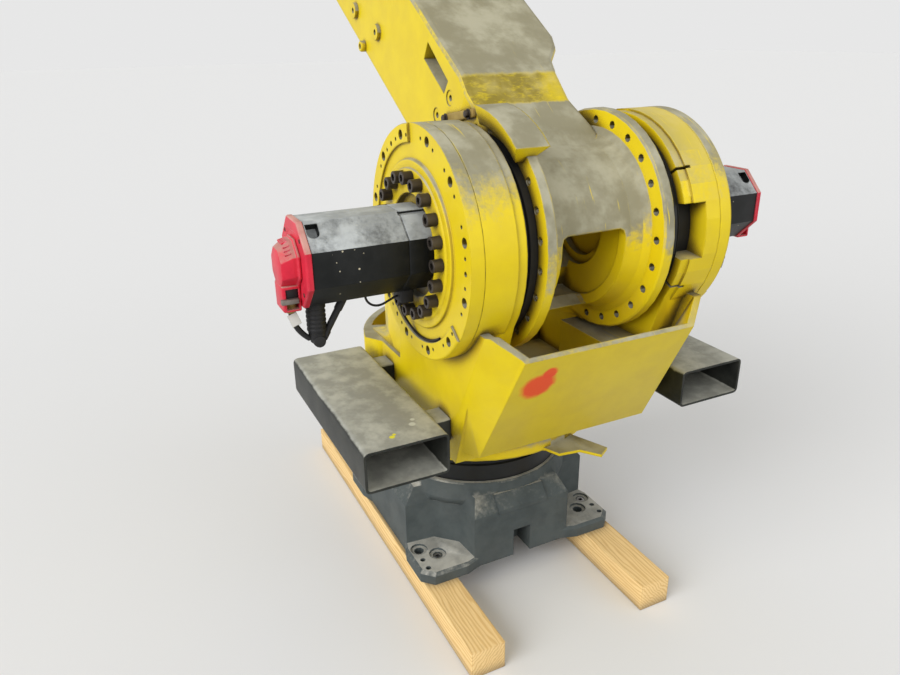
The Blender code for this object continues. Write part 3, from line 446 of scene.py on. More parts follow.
MOTOR_BLACK = painted_metal("motor_black", (0.007, 0.008, 0.008), (0.013, 0.014, 0.014), 0.40,
                            dust_colour=(0.45, 0.475, 0.48), specks=(0.55, 0.50, 0.36), dust_high=0.76,
                            film=0.008)
MOTOR_RED = painted_metal("motor_red", (0.78, 0.034, 0.065), (0.62, 0.022, 0.050), 0.38,
                          dust_colour=(0.52, 0.36, 0.30), cover=0.75, worn=(0.92, 0.28, 0.34),
                          dust_high=0.66)
DARK_STEEL = plain_finish("dark_steel", (0.060, 0.048, 0.040), (0.10, 0.085, 0.070), 0.42, 0.6)
BRIGHT_STEEL = plain_finish("bright_steel", (0.45, 0.44, 0.42), (0.30, 0.29, 0.27), 0.35, 0.9)
RUBBER = plain_finish("black_rubber", (0.012, 0.012, 0.013), (0.022, 0.022, 0.022), 0.55)
SLEW_GLOSS = plain_finish("slew_seal_black", (0.004, 0.005, 0.005), (0.008, 0.009, 0.009), 0.34)
BRASS_BROWN = plain_finish("brown_steel", (0.30, 0.20, 0.05), (0.46, 0.34, 0.10), 0.5, 0.2)
CLAMP_GREY = plain_finish("clamp_grey", (0.16, 0.145, 0.13), (0.26, 0.24, 0.21), 0.5, 0.4)
TAG_WHITE = plain_finish("bare_tag_white", (0.72, 0.72, 0.70), (0.62, 0.61, 0.57), 0.5)
PINE = sawn_pine("sawn_pine")


# Shaping

def drop_choice():
    if bpy.context.mode != "OBJECT":
        bpy.ops.object.mode_set(mode="OBJECT")
    bpy.ops.object.select_all(action="DESELECT")


def choose(*pieces):
    drop_choice()
    for piece in pieces:
        piece.select_set(True)
    bpy.context.view_layer.objects.active = pieces[0]


def edit(piece, choice="DESELECT"):
    choose(piece)
    bpy.ops.object.mode_set(mode="EDIT")
    bpy.ops.mesh.select_mode(type="FACE")
    bpy.ops.mesh.select_all(action=choice)


def pick(piece, wanted, kind="faces"):
    """In edit mode, select the faces, edges or points that pass a test."""
    bpy.ops.mesh.select_mode(type={"faces": "FACE", "edges": "EDGE", "verts": "VERT"}[kind])
    bpy.ops.mesh.select_all(action="DESELECT")
    shape = bmesh.from_edit_mesh(piece.data)
    shape.normal_update()
    for element in getattr(shape, kind):
        if wanted(element):
            element.select_set(True)
    shape.select_flush_mode()
    bmesh.update_edit_mesh(piece.data)


def settle(piece, smooth=30.0):
    """Out of edit mode, with the place in the mesh, faces outwards and smooth curves."""
    choose(piece)
    bpy.ops.object.transform_apply(location=True, rotation=True, scale=True)
    bpy.ops.object.mode_set(mode="EDIT")
    bpy.ops.mesh.select_all(action="SELECT")
    bpy.ops.mesh.normals_make_consistent(inside=False)
    bpy.ops.object.mode_set(mode="OBJECT")
    bpy.ops.object.shade_smooth_by_angle(angle=math.radians(smooth))
    return piece


def modify(piece, kind, **settings):
    choose(piece)
    modifier = piece.modifiers.new(kind.lower(), kind)
    for name, value in settings.items():
        setattr(modifier, name, value)
    bpy.ops.object.modifier_apply(modifier=modifier.name)
    return piece


def cut(piece, cutter, operation="DIFFERENCE"):
    modify(piece, "BOOLEAN", object=cutter, operation=operation, solver="EXACT")
    bpy.data.objects.remove(cutter, do_unlink=True)
    return piece


def join(name, pieces):
    if len(pieces) > 1:
        choose(*pieces)
        bpy.ops.object.join()
    pieces[0].name = pieces[0].data.name = name
    return pieces[0]


def dress(piece, body, material, smooth=30.0):
    """Last step of a new piece: its place, finish, body and slot."""
    settle(piece, smooth)
    piece.data.materials.clear()
    piece.data.materials.append(material)
    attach(piece, body)
    return piece


def lathe(name, profile, sides=96, closed=False):
    """Round piece about Z: a disc or ring grown by extrude and scale along a profile."""
    drop_choice()
    start_radius, start_height = profile[0]
    bpy.ops.mesh.primitive_circle_add(vertices=sides, radius=start_radius, location=(0, 0, start_height),
                                      fill_type="NOTHING" if closed else "NGON")
    piece = bpy.context.active_object
    piece.name = name
    bpy.ops.object.mode_set(mode="EDIT")
    bpy.ops.mesh.select_mode(type="VERT")
    bpy.ops.mesh.select_all(action="SELECT")
    for (radius, height), (next_radius, next_height) in zip(profile, profile[1:]):
        bpy.ops.mesh.extrude_region_move(
            TRANSFORM_OT_translate={"value": (0, 0, next_height - height)})
        share = next_radius / radius
        if abs(share - 1) > 1e-6:
            bpy.ops.transform.resize(value=(share, share, 1))
    bpy.ops.mesh.select_all(action="SELECT")
    bpy.ops.mesh.remove_doubles(threshold=0.00002)
    bpy.ops.mesh.normals_make_consistent(inside=False)
    bpy.ops.object.mode_set(mode="OBJECT")
    bpy.ops.object.transform_apply(location=True, rotation=True, scale=True)
    return piece


def stand(piece, place=(0, 0, 0), toward=(0, 0, 1), spin=0.0):
    """Turn a piece made along +Z to point another way and move it to its place."""
    aim = Vector((0, 0, 1)).rotation_difference(Vector(toward)).to_matrix().to_4x4()
    piece.matrix_world = Matrix.Translation(place) @ aim @ Matrix.Rotation(spin, 4, "Z")
    choose(piece)
    bpy.ops.object.transform_apply(location=True, rotation=True, scale=True)
    return piece


def move(piece, matrix):
    piece.matrix_world = matrix @ piece.matrix_world
    choose(piece)
    bpy.ops.object.transform_apply(location=True, rotation=True, scale=True)
    return piece


def repeat(name, pattern, places):
    """One object made of a copy of the pattern at each place; the pattern goes."""
    made = []
    for place in places:
        copy = pattern.copy()
        copy.data = pattern.data.copy()
        bpy.context.scene.collection.objects.link(copy)
        move(copy, place)
        made.append(copy)
    bpy.data.objects.remove(pattern, do_unlink=True)
    return join(name, made)


def rod(name, radius, depth, sides=24):
    """Plain cutter or blank from 0 to depth along +Z."""
    drop_choice()
    bpy.ops.mesh.primitive_cylinder_add(vertices=sides, radius=radius, depth=depth,
                                        location=(0, 0, depth / 2))
    piece = bpy.context.active_object
    piece.name = name
    bpy.ops.object.transform_apply(location=True, rotation=True, scale=True)
    return piece


def block(name, size, centre):
    drop_choice()
    bpy.ops.mesh.primitive_cube_add(size=1.0, location=centre)
    piece = bpy.context.active_object
    piece.name = name
    piece.scale = size
    bpy.ops.object.transform_apply(location=True, rotation=True, scale=True)
    return piece


def softened_copy(name, node, material, width=0.0, steps=2, smooth=16.0, shortest=0.012):
    """Merged copy of a solid, with smooth curves and, where asked, a radius on its long edges."""
    piece, body = merged_copy(name, node)
    if width:
        weigh_edges(piece, shortest)
        modify(piece, "BEVEL", width=width, segments=steps, limit_method="WEIGHT",
               use_clamp_overlap=False, miter_outer="MITER_ARC")
    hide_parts(node)
    return dress(piece, body, material, smooth)


def merged_copy(name, node):
    """Copy of a solid with its loose triangles merged into whole faces."""
    source = frame["nodes"][node]
    body = source["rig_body"]
    drop_choice()
    data = source.data.copy()
    data.materials.clear()
    piece = bpy.data.objects.new(name, data)
    bpy.context.scene.collection.objects.link(piece)
    edit(piece, "SELECT")
    bpy.ops.mesh.remove_doubles(threshold=0.00003)
    bpy.ops.mesh.dissolve_limited(angle_limit=math.radians(0.6))
    bpy.ops.object.mode_set(mode="OBJECT")
    return piece, body


def weigh_edges(piece, shortest):
    """Mark the sharp edges that are long enough for a radius."""
    shape = bmesh.new()
    shape.from_mesh(piece.data)
    weight = shape.edges.layers.float.get("bevel_weight_edge")
    weight = weight or shape.edges.layers.float.new("bevel_weight_edge")
    for line in shape.edges:
        if len(line.link_faces) == 2 and line.calc_length() > shortest:
            if line.calc_face_angle() > math.radians(32):
                line[weight] = 1.0
    shape.to_mesh(piece.data)
    shape.free()


# Round pieces

def about_z(degrees, radius=0.0, lift=0.0):
    spin = Matrix.Rotation(math.radians(degrees), 4, "Z")
    return spin @ Matrix.Translation((radius, 0, lift))


def on_shoulder(piece, side):
    """Made along +Z with X forward and Y up; goes onto the shoulder axis, outwards."""
    flip = Matrix(((1, 0, 0, 0), (0, 0, side, 0), (0, 1, 0, 0), (0, 0, 0, 1)))
    return move(piece, Matrix.Translation(SHOULDER) @ flip)


def bearing(points):
    """Angle about Z of the middle of some points, from 0 to 360."""
    middle = sum((point.co for point in points), Vector()) / len(points)
    return math.degrees(math.atan2(middle.y, middle.x)) % 360


def arc_bar(name, inner, outer, low, high, start, end):
    """Bar bent round Z between two radii, two heights and two angles."""
    bar = lathe(name, ((inner, low), (outer, low), (outer, high), (inner, high), (inner, low)),
                180, closed=True)
    edit(bar)
    pick(bar, lambda face: not start < bearing(face.verts) < end)
    bpy.ops.mesh.delete(type="FACE")
    bpy.ops.mesh.select_all(action="SELECT")
    bpy.ops.mesh.fill_holes(sides=8)
    bpy.ops.mesh.normals_make_consistent(inside=False)
    bpy.ops.object.mode_set(mode="OBJECT")
    return bar


def round_edges(piece, width, steps=2, angle=30):
    return modify(piece, "BEVEL", width=width, segments=steps, limit_method="ANGLE",
                  angle_limit=math.radians(angle))


def socket_screw(name, radius, height, across):
    """Socket head screw standing on Z = 0, with a bevelled rim and a six-sided socket."""
    head = rod(name, radius, height, 28)
    edit(head)
    pick(head, lambda face: face.calc_center_median().z > height * 0.9)
    bpy.ops.mesh.inset(thickness=radius * 0.08, depth=radius * 0.06)
    bpy.ops.object.mode_set(mode="OBJECT")
    socket = rod("socket", across / 2 / math.cos(math.pi / 6), height, 6)
    move(socket, Matrix.Translation((0, 0, height * 0.45)))
    return cut(head, socket)


def hex_screw(name, radius, height):
    """Six-sided head on a washer, with its corners turned off."""
    head = rod(name, radius, height, 6)
    round_edges(head, radius * 0.10, 2, 50)
    move(head, Matrix.Translation((0, 0, radius * 0.2)))
    washer = rod("washer", radius * 1.35, radius * 0.22, 28)
    round_edges(washer, radius * 0.05, 1, 50)
    return join(name, [head, washer])


COVER_LOW = CAP_FACE - 0.0060
COVER_STEP = CAP_FACE + 0.0015
LOW_RIM_START, LOW_RIM_SPAN = -37, 131
COVER_PROFILE = (
    (0.2545, CAP_BACK), (CAP_RADIUS, CAP_BACK + 0.001), (CAP_RADIUS, CAP_FACE - 0.003),
    (CAP_RADIUS - 0.0012, CAP_FACE - 0.0010), (CAP_RADIUS - 0.003, CAP_FACE),
    (0.2170, CAP_FACE), (0.2162, CAP_FACE - 0.0010), (0.2158, COVER_LOW + 0.0012), (0.2145, COVER_LOW),
    (0.1850, COVER_LOW), (0.1838, COVER_LOW + 0.0010), (0.1826, COVER_STEP - 0.0015),
    (0.1810, COVER_STEP), (0.1665, COVER_STEP), (0.1655, COVER_STEP + 0.0007),
    (0.1636, DISC_FACE - 0.0008), (0.1620, DISC_FACE),
    (0.1140, DISC_FACE), (0.1125, DISC_FACE - 0.0015), (0.1110, MOTOR_SEAT + 0.0005),
    (0.0100, MOTOR_SEAT + 0.0005),
)


def shoulder_cover(hand, side):
    """Round cover with a raised band on part of its rim, steps, bolt holes and tapped holes."""
    cover = lathe("cover_" + hand, COVER_PROFILE, 128)
    low_part = arc_bar("low_part", 0.2100, 0.2600, COVER_LOW, CAP_FACE + 0.01, 0, LOW_RIM_SPAN)
    cut(cover, move(low_part, about_z(LOW_RIM_START)))
    holes = []
    for radius, place, depth, angles in (
        (0.0105, 0.234, 0.034, [14 + 30 * k for k in range(12)]),
        (0.0055, 0.231, 0.024, [-1 + 120 * k for k in range(3)]),
        (0.0040, 0.231, 0.020, [14 + 30 * k + 7.5 * s for k in range(12) for s in (-1, 1)]),
    ):
        drill = rod("drill", radius, depth + 0.01, 20 if radius > 0.008 else 12)
        holes.append(repeat("drills", drill, [about_z(a, place, CAP_FACE - depth) for a in angles]))
    cut(cover, join("drills", holes))
    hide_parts("housing_cap_" + hand)
    dress(on_shoulder(cover, side), "carriage", YELLOW, 28)
    screws = repeat("cover_screws_" + hand, socket_screw("screw", 0.0135, 0.0220, 0.014),
                    [about_z(15.8 + 18 * k, 0.1474, DISC_FACE + 0.0001) for k in range(20)])
    dress(on_shoulder(screws, side), "carriage", DARK_STEEL, 35)


def shoulder_bearings(hand, side):
    """Reducer ring and seal that show between the arm and the cheek."""
    ring = lathe("reducer_ring_" + hand, (
        (0.226, 0.1603), (0.228, 0.1623), (0.228, 0.1783), (0.2255, 0.1803), (0.208, 0.1830),
        (0.2045, 0.1843), (0.2045, 0.2955), (0.150, 0.2955)), 128)
    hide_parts("reducer_" + hand)
    dress(on_shoulder(ring, side), "carriage", RUBBER, 35)
    seal = lathe("lip_seal_" + hand, (
        (0.2048, 0.1850), (0.2300, 0.1850), (0.2320, 0.1870), (0.2320, 0.1940), (0.2290, 0.1960),
        (0.2320, 0.1980), (0.2310, 0.1995), (0.2048, 0.1995), (0.2048, 0.1850)), 128, closed=True)
    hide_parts("seal_" + hand)
    dress(on_shoulder(seal, side), "carriage", SLEW_GLOSS, 35)


# Motors

def eight_sided(name, profile):
    """Octagonal piece from half widths over flats and heights, with a flat on top."""
    grow = 1 / math.cos(math.pi / 8)
    piece = lathe(name, [(half * grow, height) for half, height in profile], 8)
    return move(piece, Matrix.Rotation(math.pi / 8, 4, "Z"))


def slant_place(down, along, depth):
    """Frame on the motor's upper front flat: Z out of it, Y up the slope."""
    out, up = Vector((1, 1, 0)).normalized(), Vector((-1, 1, 0)).normalized()
    frame_axes = Matrix((up.cross(out), up, out)).transposed().to_4x4()
    frame_axes.translation = out * (MOTOR_HALF - depth) - up * down + Vector((0, 0, along))
    return frame_axes


def servo_body(name, foot, seam, end):
    """Eight-sided body with a flange seam, a lifting socket and a notch at the flange."""
    body = eight_sided(name, (
        (MOTOR_HALF, foot), (MOTOR_HALF, seam - 0.0010), (MOTOR_HALF - 0.0013, seam),
        (MOTOR_HALF - 0.0013, seam + 0.0012), (MOTOR_HALF, seam + 0.0022), (MOTOR_HALF, end)))
    round_edges(body, 0.0016)
    depth = 0.018
    cut(body, move(rod("round_end", 0.0125, 0.03, 32), slant_place(-0.0095, end - 0.015, depth)))
    cut(body, move(block("square_end", (0.025, 0.019, 0.03), (0, 0.0105, 0.015)),
                   slant_place(-0.0095, end - 0.015, depth)))
    cut(body, move(block("notch", (0.070, 0.008, 0.02), (0, 0, 0.01)),
                   slant_place(-0.0300, seam - 0.0300, 0.007)))
    return body


def end_plate(name, half, start):
    """Red end plate with a chamfered rim, a shallow inner land and corner screws."""
    plate = eight_sided(name, (
        (half - 0.001, start), (half, start + 0.001), (half, start + 0.0100),
        (half - 0.0022, start + 0.0130), (0.066, start + 0.0130), (0.0655, start + 0.0122),
        (0.030, start + 0.0122)))
    screws = repeat("plate_screws", socket_screw("screw", 0.0046, 0.0040, 0.0045),
                    [about_z(45 + 90 * k, 0.078, start + 0.0095) for k in range(4)])
    return plate, screws


def encoder_cap(name, start, lift):
    """Faceted cap that narrows to a flat end, with a foot flange and vent ribs above."""
    cap = eight_sided(name, ((0.0520, start), (0.0520, start + 0.0050), (0.0480, start + 0.0060),
                             (0.0480, start + 0.0130), (0.0400, start + 0.0370), (0.0050, start + 0.0370)))
    edit(cap)
    pick(cap, lambda point: point.co.z > start + 0.030, "verts")
    bpy.ops.transform.translate(value=(0, -0.008, 0))
    bpy.ops.object.mode_set(mode="OBJECT")
    round_edges(cap, 0.0012, 2, 12)
    lean = Matrix.Rotation(math.radians(14), 4, "X")
    ribs = []
    for turn, places in ((0, (-0.014, -0.005, 0.004, 0.013)), (-45, (-0.010, -0.001, 0.008))):
        spin = Matrix.Rotation(math.radians(turn), 4, "Z")
        for across in places:
            rib = block("rib", (0.0032, 0.0050, 0.013), (0, 0, 0))
            ribs.append(move(rib, spin @ Matrix.Translation((across, 0.0446, start + 0.0205)) @ lean))
    cap = join(name, [cap] + [round_edges(rib, 0.0006, 1) for rib in ribs])
    return move(cap, Matrix.Translation((0, lift, 0)))


def ribbed_plug(name, radius, length, ribs):
    """Round moulded plug with ribs and a tapered tail, made downwards along +Z."""
    profile = [(radius, 0.0), (radius, length * 0.16), (radius - 0.002, length * 0.18)]
    for rib in range(ribs):
        low = length * (0.22 + 0.50 * rib / ribs)
        step = length * 0.50 / ribs
        profile += [(radius - 0.002, low), (radius - 0.0005, low + step * 0.2),
                    (radius - 0.0005, low + step * 0.6), (radius - 0.002, low + step * 0.8)]
    profile += [(radius - 0.003, length * 0.80), (radius - 0.006, length * 0.96),
                (radius - 0.010, length)]
    return lathe(name, profile, 40)


def shoulder_motor(hand, side):
    body = servo_body("servo_" + hand, MOTOR_SEAT + 0.0008, 0.3805, MOTOR_END - 0.0004)
    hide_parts("motor_" + hand)
    dress(on_shoulder(body, side), "carriage", MOTOR_BLACK, 25)
    plate, screws = end_plate("servo_end_plate_" + hand, 0.0890, MOTOR_END + 0.0003)
    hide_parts("end_plate_" + hand)
    dress(on_shoulder(plate, side), "carriage", MOTOR_RED, 25)
    screws.name = "servo_plate_screws_" + hand
    dress(on_shoulder(screws, side), "carriage", DARK_STEEL, 35)
    cap = encoder_cap("servo_cap_" + hand, MOTOR_END + 0.0136, 0.001)
    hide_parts("encoder_cap_" + hand)
    dress(on_shoulder(cap, side), "carriage", MOTOR_RED, 25)
    housing = connector_housing(hand)
    dress(on_shoulder(housing, side), "carriage", MOTOR_RED, 25)
    plug = ribbed_plug("power_plug_" + hand, 0.0215, 0.096, 5)
    stand(plug, (SHOULDER.x, side * 0.5640, SHOULDER.z - MOTOR_HALF - 0.0005), (0, 0, -1))
    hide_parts("plug_" + hand)
    dress(plug, "carriage", RUBBER, 40)


def connector_housing(hand):
    """Red socket housing under the faceted cap, open to the front."""
    start = MOTOR_END + 0.0136
    housing = block("servo_socket_" + hand, (0.062, 0.056, 0.038), (0, -0.068, start + 0.019))
    round_edges(housing, 0.004, 3)
    cut(housing, block("mouth", (0.060, 0.044, 0.026), (0.018, -0.069, start + 0.018)))
    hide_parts("connector_" + hand)
    return housing


def near_shoulder(*points):
    """Points in tenths of a millimetre, with X and Z from the shoulder axis, in metres."""
    return [(SHOULDER.x + x / 1e4, y / 1e4, SHOULDER.z + z / 1e4) for x, y, z in points]


def right_hand_leads():
    """Plug, clamp, tag and leads that show on the near motor."""
    x, z = SHOULDER.x, SHOULDER.z
    core = block("encoder_plug_core", (0.044, 0.025, 0.030), (x + 0.008, -0.6165, z - 0.058))
    dress(round_edges(core, 0.003, 2), "carriage", RUBBER)
    clamp = block("encoder_plug_clamp", (0.012, 0.037, 0.011), (x + 0.0325, -0.6225, z - 0.0712))
    dress(round_edges(clamp, 0.0025, 3), "carriage", CLAMP_GREY)
    gland = lathe("encoder_gland", ((0.0125, 0), (0.0125, 0.008), (0.0115, 0.009), (0.0115, 0.020),
                                    (0.0085, 0.025), (0.004, 0.0255)), 32)
    stand(gland, (x + 0.010, -0.6175, z - 0.0780), (0, 0, -1))
    dress(gland, "carriage", BRASS_BROWN, 40)
    tag = block("bare_tag", (0.0012, 0.021, 0.027), (0, 0, 0))
    round_edges(tag, 0.0005, 1)
    tilt = Matrix.Rotation(math.radians(-8), 4, "Y") @ Matrix.Rotation(math.radians(19), 4, "X")
    tag = move(tag, Matrix.Translation((x + 0.0215, -0.6150, z - 0.1155)) @ tilt)
    dress(tag, "carriage", TAG_WHITE)
    strut = lathe("plug_strut", ((0.0075, 0), (0.0090, 0.002), (0.0090, 0.020), (0.0075, 0.022),
                                 (0.0075, 0.070), (0.0090, 0.072), (0.0090, 0.098), (0.0060, 0.100)), 28)
    foot, top = Vector((x + 0.004, -0.5540, z - 0.176)), Vector((x + 0.004, -0.5000, z - 0.0875))
    strut.dimensions = (strut.dimensions.x, strut.dimensions.y, (top - foot).length)
    dress(stand(strut, foot, top - foot), "carriage", RUBBER, 40)
    knuckle = lathe("plug_knuckle", ((0.006, -0.0165), (0.0125, -0.0150), (0.0135, -0.010),
                                     (0.0135, 0.010), (0.0125, 0.0150), (0.006, 0.0165)), 32)
    dress(stand(knuckle, foot + Vector((0, -0.010, 0.0)), (1, 0, 0)), "carriage", RUBBER, 40)
    tail = lead("encoder_tail", 0.0062, near_shoulder(
        (100, -6175, -1030), (100, -6175, -1065), (98, -6172, -1105), (95, -6166, -1148), (90, -6156, -1194),
        (84, -6142, -1242), (77, -6124, -1291), (69, -6103, -1341), (60, -6078, -1391), (51, -6050, -1441),
        (42, -6018, -1490), (33, -5983, -1538), (25, -5945, -1584), (20, -5904, -1628), (15, -5861, -1669),
        (12, -5815, -1706)))
    ride_lead(tail, RUBBER)
    anchor = block("lead_anchor", (0.046, 0.030, 0.030), (x + 0.012, -0.368, z - MOTOR_HALF - 0.0148))
    round_edges(anchor, 0.003, 2)
    dress(anchor, "carriage", RUBBER)
    loop = lead("brake_lead", 0.0026, near_shoulder(
        (160, -4580, -872), (160, -4580, -915), (160, -4573, -960), (160, -4558, -1005), (155, -4535, -1048),
        (150, -4503, -1088), (150, -4463, -1124), (145, -4415, -1153),
        (140, -4360, -1175), (135, -4300, -1186),
        (130, -4238, -1186), (125, -4177, -1176), (120, -4118, -1156),
        (120, -4060, -1131), (120, -4000, -1104),
        (120, -3935, -1078), (120, -3832, -1040)))
    ride_lead(loop, RUBBER)
    route = near_shoulder(
        (-120, -3680, -1165), (-130, -3675, -1230), (-165, -3655, -1330), (-225, -3615, -1450),
        (-295, -3565, -1570), (-360, -3505, -1690), (-405, -3440, -1805), (-405, -3380, -1920),
        (-340, -3330, -2020))
    for degrees in range(-94, -54, 4):
        turn = math.radians(degrees)
        route.append((x + 0.2120 * math.cos(turn), -0.3298, z + 0.2120 * math.sin(turn)))
    ride_lead(lead("grease_lead", 0.0026, route), RUBBER)


def lead(name, radius, points):
    """Round lead as a smooth open curve through points."""
    drop_choice()
    bpy.ops.curve.primitive_bezier_curve_add()
    piece = bpy.context.active_object
    piece.name = piece.data.name = name
    curve = piece.data
    curve.splines.clear()
    curve.dimensions = "3D"
    spline = curve.splines.new("NURBS")
    spline.points.add(len(points) - 1)
    for knot, point in zip(spline.points, points):
        knot.co = (*point, 1.0)
    spline.order_u = 4
    spline.use_endpoint_u = True
    spline.resolution_u = 6
    curve.bevel_depth = radius
    curve.bevel_resolution = 4
    curve.use_fill_caps = True
    return piece


def curve_length(piece):
    """Length of a lead along its centreline."""
    drop_choice()
    plain = piece.data.copy()
    plain.bevel_depth = 0.0
    ghost = bpy.data.objects.new("ghost", plain)
    bpy.context.scene.collection.objects.link(ghost)
    mesh = ghost.to_mesh()
    points = mesh.vertices
    total = sum((points[a].co - points[b].co).length for a, b in (line.vertices for line in mesh.edges))
    ghost.to_mesh_clear()
    bpy.data.objects.remove(ghost, do_unlink=True)
    bpy.data.curves.remove(plain)
    return total


def ride_lead(piece, material):
    piece.data.materials.clear()
    piece.data.materials.append(material)
    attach(piece, "carriage")
    curve_length(piece)


# Castings

SLOT_SIZE, SLOT_PLACE = (0.12, 0.055, 0.172), (0.290, 0, 0)


def dress_castings():
    for side in ("timber_right", "timber_left"):
        softened_copy("sawn_" + side, side, PINE, 0.002, 2, 35)
    base, body = merged_copy("cast_base", "base_casting")
    cut(base, block("front_slot", SLOT_SIZE, SLOT_PLACE))
    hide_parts("base_casting")
    dress(base, body, BASE_PAINT, 16)
    softened_copy("cast_connector_box", "connector_box", BASE_PAINT, 0.002, 2)
    softened_copy("cast_carriage", "carriage_casting", YELLOW_HULL)
    softened_copy("cast_elbow", "elbow_casting", YELLOW)
    softened_copy("forearm_body", "forearm_tube", YELLOW)
    softened_copy("wrist_body", "wrist_hinge", YELLOW)
    for hand, side in SIDES:
        softened_copy("lift_tube_" + hand, "fork_tube_" + hand, TUBE_STEEL, 0.005, 4, 35, 0.4)
        for end in ("rear", "front"):
            softened_copy("tube_spacer_%s_%s" % (hand, end), "fork_spacer_%s_%s" % (hand, end),
                          TUBE_STEEL, 0.001, 2)
    for node in ("slew_motor", "elbow_motor", "wrist_motor_right", "wrist_motor_middle", "wrist_motor_left"):
        softened_copy(node + "_body", node, MOTOR_BLACK, 0.0015, 2)
    for node in ("slew_motor_cap", "elbow_motor_cap"):
        softened_copy(node + "_cover", node, MOTOR_RED, 0.0015, 2)


def dress_arm():
    """Arm casting with the tapped and counterbored holes of its flange and near side."""
    arm, body = merged_copy("cast_arm", "arm_casting")
    wide = repeat("drills", rod("drill", 0.0085, 0.014, 20),
                  [about_z(9.7 + 15 * k, FLANGE_CIRCLE, FLANGE_FACE - 0.003) for k in range(24)])
    deep = repeat("drills", rod("drill", 0.0052, 0.022, 14),
                  [about_z(9.7 + 15 * k, FLANGE_CIRCLE, FLANGE_FACE - 0.012) for k in range(24)])
    for hand, side in SIDES:
        for pattern in (wide, deep):
            drills = pattern.copy()
            drills.data = pattern.data.copy()
            bpy.context.scene.collection.objects.link(drills)
            cut(arm, on_shoulder(drills, side))
    for pattern in (wide, deep):
        bpy.data.objects.remove(pattern, do_unlink=True)
    outward = Matrix.Rotation(math.radians(90), 4, "X")
    for across, along, radius, start, depth in (
        (0.146, 0.299, 0.0180, 0.1600, 0.0025), (0.146, 0.299, 0.0070, 0.1600, 0.020),
        (0.069, 0.337, 0.0180, 0.1600, 0.0025), (0.069, 0.337, 0.0070, 0.1600, 0.020),
        (0.027, 0.747, 0.0075, 0.1700, 0.020), (-0.015, 0.920, 0.0075, 0.1700, 0.020),
    ):
        drill = rod("drill", radius, depth + 0.01, 24)
        cut(arm, move(drill, ARM_FRAME @ Matrix.Translation((across, depth - start, along)) @ outward))
    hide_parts("arm_casting")
    dress(arm, body, YELLOW_ARM, 16)


def arm_fittings():
    """Locking bar with its screws and the small bolt on the rear edge."""
    bar = block("locking_bar", (0.155, 0.010, 0.020), (0, 0, 0))
    round_edges(bar, 0.004, 3)
    lean = Matrix.Rotation(math.atan2(0.114, 0.105), 4, "Y")
    bar_place = ARM_FRAME @ Matrix.Translation((0.1475, -0.1652, 0.233)) @ lean
    dress(move(bar, bar_place), "arm", BRASS_BROWN)
    outward = Matrix.Rotation(math.radians(90), 4, "X")
    places = [bar_place @ Matrix.Translation((along, -0.0048, 0)) @ outward for along in (-0.058, 0.058)]
    screws = repeat("locking_bar_screws", hex_screw("screw", 0.0085, 0.0075), places)
    dress(screws, "arm", DARK_STEEL, 35)
    stub = lathe("rear_boss", ((0.0150, 0), (0.0150, 0.012), (0.0130, 0.0150), (0.0075, 0.0150),
                               (0.0065, 0.010), (0.003, 0.010)), 32)
    stub_place = ARM_FRAME @ Matrix.Translation((-0.0650, -0.1590, 0.822)) @ outward
    dress(move(stub, stub_place), "arm", YELLOW, 40)


def base_fittings():
    """Bearing ring, jacking screws and the screw left in one foot."""
    low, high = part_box("slew_ring")
    top = high.z - 0.0005
    ring = lathe("bearing_ring", (
        (0.2565, low.z), (0.2580, low.z + 0.0015), (0.2580, 0.2850), (0.2520, 0.2890), (0.2520, 0.2990),
        (0.2580, 0.3030), (0.2580, top - 0.001), (0.2570, top), (0.1000, top)), 144)
    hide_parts("slew_ring")
    dress(ring, "base", SLEW_GLOSS, 35)
    jacks = repeat("jacking_screws", socket_screw("screw", 0.0135, 0.024, 0.012), [
        Matrix.Translation((0.236, -0.240, 0.004)), Matrix.Translation((0.195, 0.280, 0.004))])
    dress(jacks, "base", BRIGHT_STEEL, 35)


def wrist_fittings():
    """Rounded neck, elbow cover and tool flange with its screws."""
    neck_place = ELBOW_FRAME @ Matrix.Rotation(math.radians(90), 4, "Y")
    neck = lathe("wrist_collar", (
        (0.079, 1.1003), (0.080, 1.1013), (0.080, 1.1290), (0.0785, 1.1305), (0.0740, 1.1360),
        (0.0740, 1.2140), (0.0680, 1.2200), (0.0300, 1.2200)), 96)
    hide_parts("wrist_neck")
    dress(move(neck, neck_place), "arm", YELLOW, 35)
    flange = lathe("tool_plate", (
        (0.052, 1.3450), (0.052, 1.3570), (0.0790, 1.3585), (0.0800, 1.3600), (0.0800, 1.3735),
        (0.0785, 1.3750), (0.0320, 1.3750), (0.0315, 1.3690), (0.0100, 1.3690)), 96)
    holes = [about_z(45 * k, 0.0625, 1.363) for k in range(8)]
    cut(flange, repeat("drills", rod("drill", 0.005, 0.03, 16), holes))
    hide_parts("tool_flange")
    dress(move(flange, neck_place), "arm", BRIGHT_STEEL, 35)
    cover_place = ELBOW_FRAME @ Matrix.Rotation(math.radians(-90), 4, "X")
    cover = lathe("elbow_lid", (
        (0.119, 0.1603), (0.120, 0.1613), (0.120, 0.1700), (0.1180, 0.1723), (0.1080, 0.1823),
        (0.0800, 0.1823), (0.0780, 0.1800), (0.0200, 0.1800)), 96)
    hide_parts("elbow_cover")
    dress(move(cover, cover_place), "arm", YELLOW, 35)
    screws = repeat("elbow_lid_screws", socket_screw("screw", 0.0065, 0.0070, 0.006),
                    [about_z(30 * k, 0.0960, 0.1815) for k in range(12)])
    dress(move(screws, cover_place), "arm", DARK_STEEL, 35)


# Stage

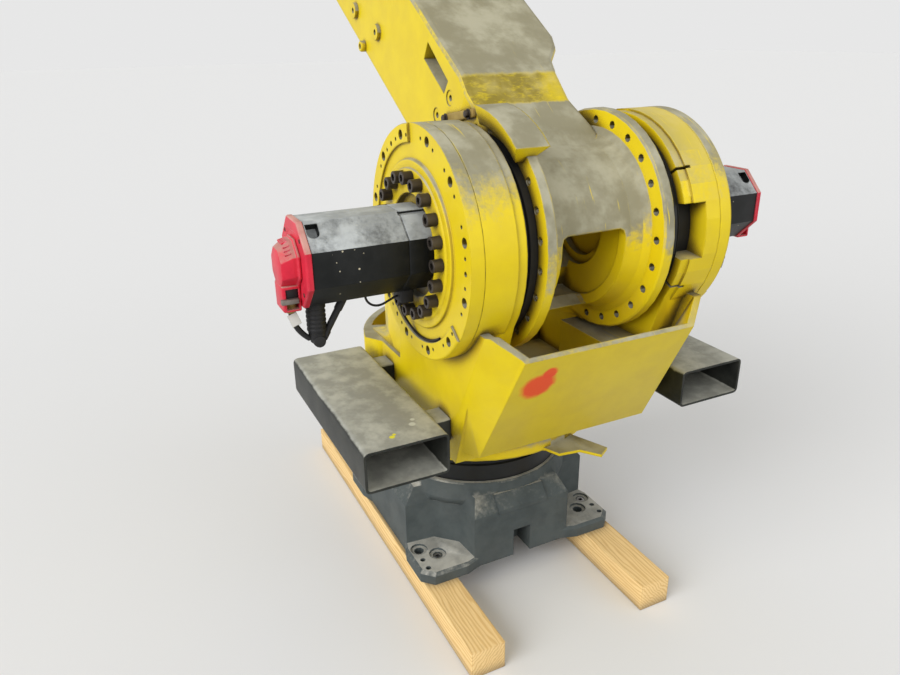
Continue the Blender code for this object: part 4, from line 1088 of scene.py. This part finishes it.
def seen_ray(tree):
    """1 on rays that show the background: from the camera, a mirror or glass."""
    path = put(tree, "ShaderNodeLightPath").outputs
    shown = maths(tree, "MAXIMUM", path["Is Camera Ray"], path["Is Glossy Ray"])
    return maths(tree, "MAXIMUM", shown, path["Is Transmission Ray"])


def stage_floor():
    """Wide pale floor, whose bounced light is held down like that of a shop floor."""
    drop_choice()
    bpy.ops.mesh.primitive_plane_add(size=90.0, location=(0, 0, FLOOR - 0.0005))
    floor = bpy.context.active_object
    floor.name = "studio_floor"
    material, tree, surface = new_material("pale_floor")
    shade = blend_colour(tree, seen_ray(tree), (0.40, 0.40, 0.395), (0.80, 0.80, 0.795))
    tree.links.new(shade, surface.inputs["Base Color"])
    surface.inputs["Roughness"].default_value = 0.95
    surface.inputs["Specular IOR Level"].default_value = 0.1
    floor.data.materials.append(material)


def light_studio():
    """Even pale surroundings, one broad soft key from the left and a weak fill."""
    world = bpy.data.worlds.new("studio")
    bpy.context.scene.world = world
    world.use_nodes = True
    tree = world.node_tree
    background = tree.nodes["Background"]
    level = put(tree, "ShaderNodeMapRange",
                {"Value": seen_ray(tree), "To Min": 0.60, "To Max": 0.80}).outputs[0]
    background.inputs["Color"].default_value = (1.0, 1.0, 1.0, 1)
    tree.links.new(level, background.inputs["Strength"])
    for name, toward, spread, power in (
        ("key_light", (0.40, -1.10, 0.62), 45, 2.15),
        ("fill_light", (0.9, 0.45, 0.36), 60, 0.75),
    ):
        bpy.ops.object.light_add(type="SUN", location=Vector(toward) * 4)
        lamp = bpy.context.active_object
        lamp.name = name
        lamp.data.angle = math.radians(spread)
        lamp.data.energy = power
        lamp.rotation_euler = Vector(toward).to_track_quat("Z", "Y").to_euler()


place_camera()
right_hand_leads()
dress_castings()
dress_arm()
for hand, side in SIDES:
    shoulder_cover(hand, side)
    shoulder_bearings(hand, side)
    shoulder_motor(hand, side)
arm_fittings()
base_fittings()
wrist_fittings()
stage_floor()
light_studio()
bpy.context.scene.view_settings.view_transform = "Standard"
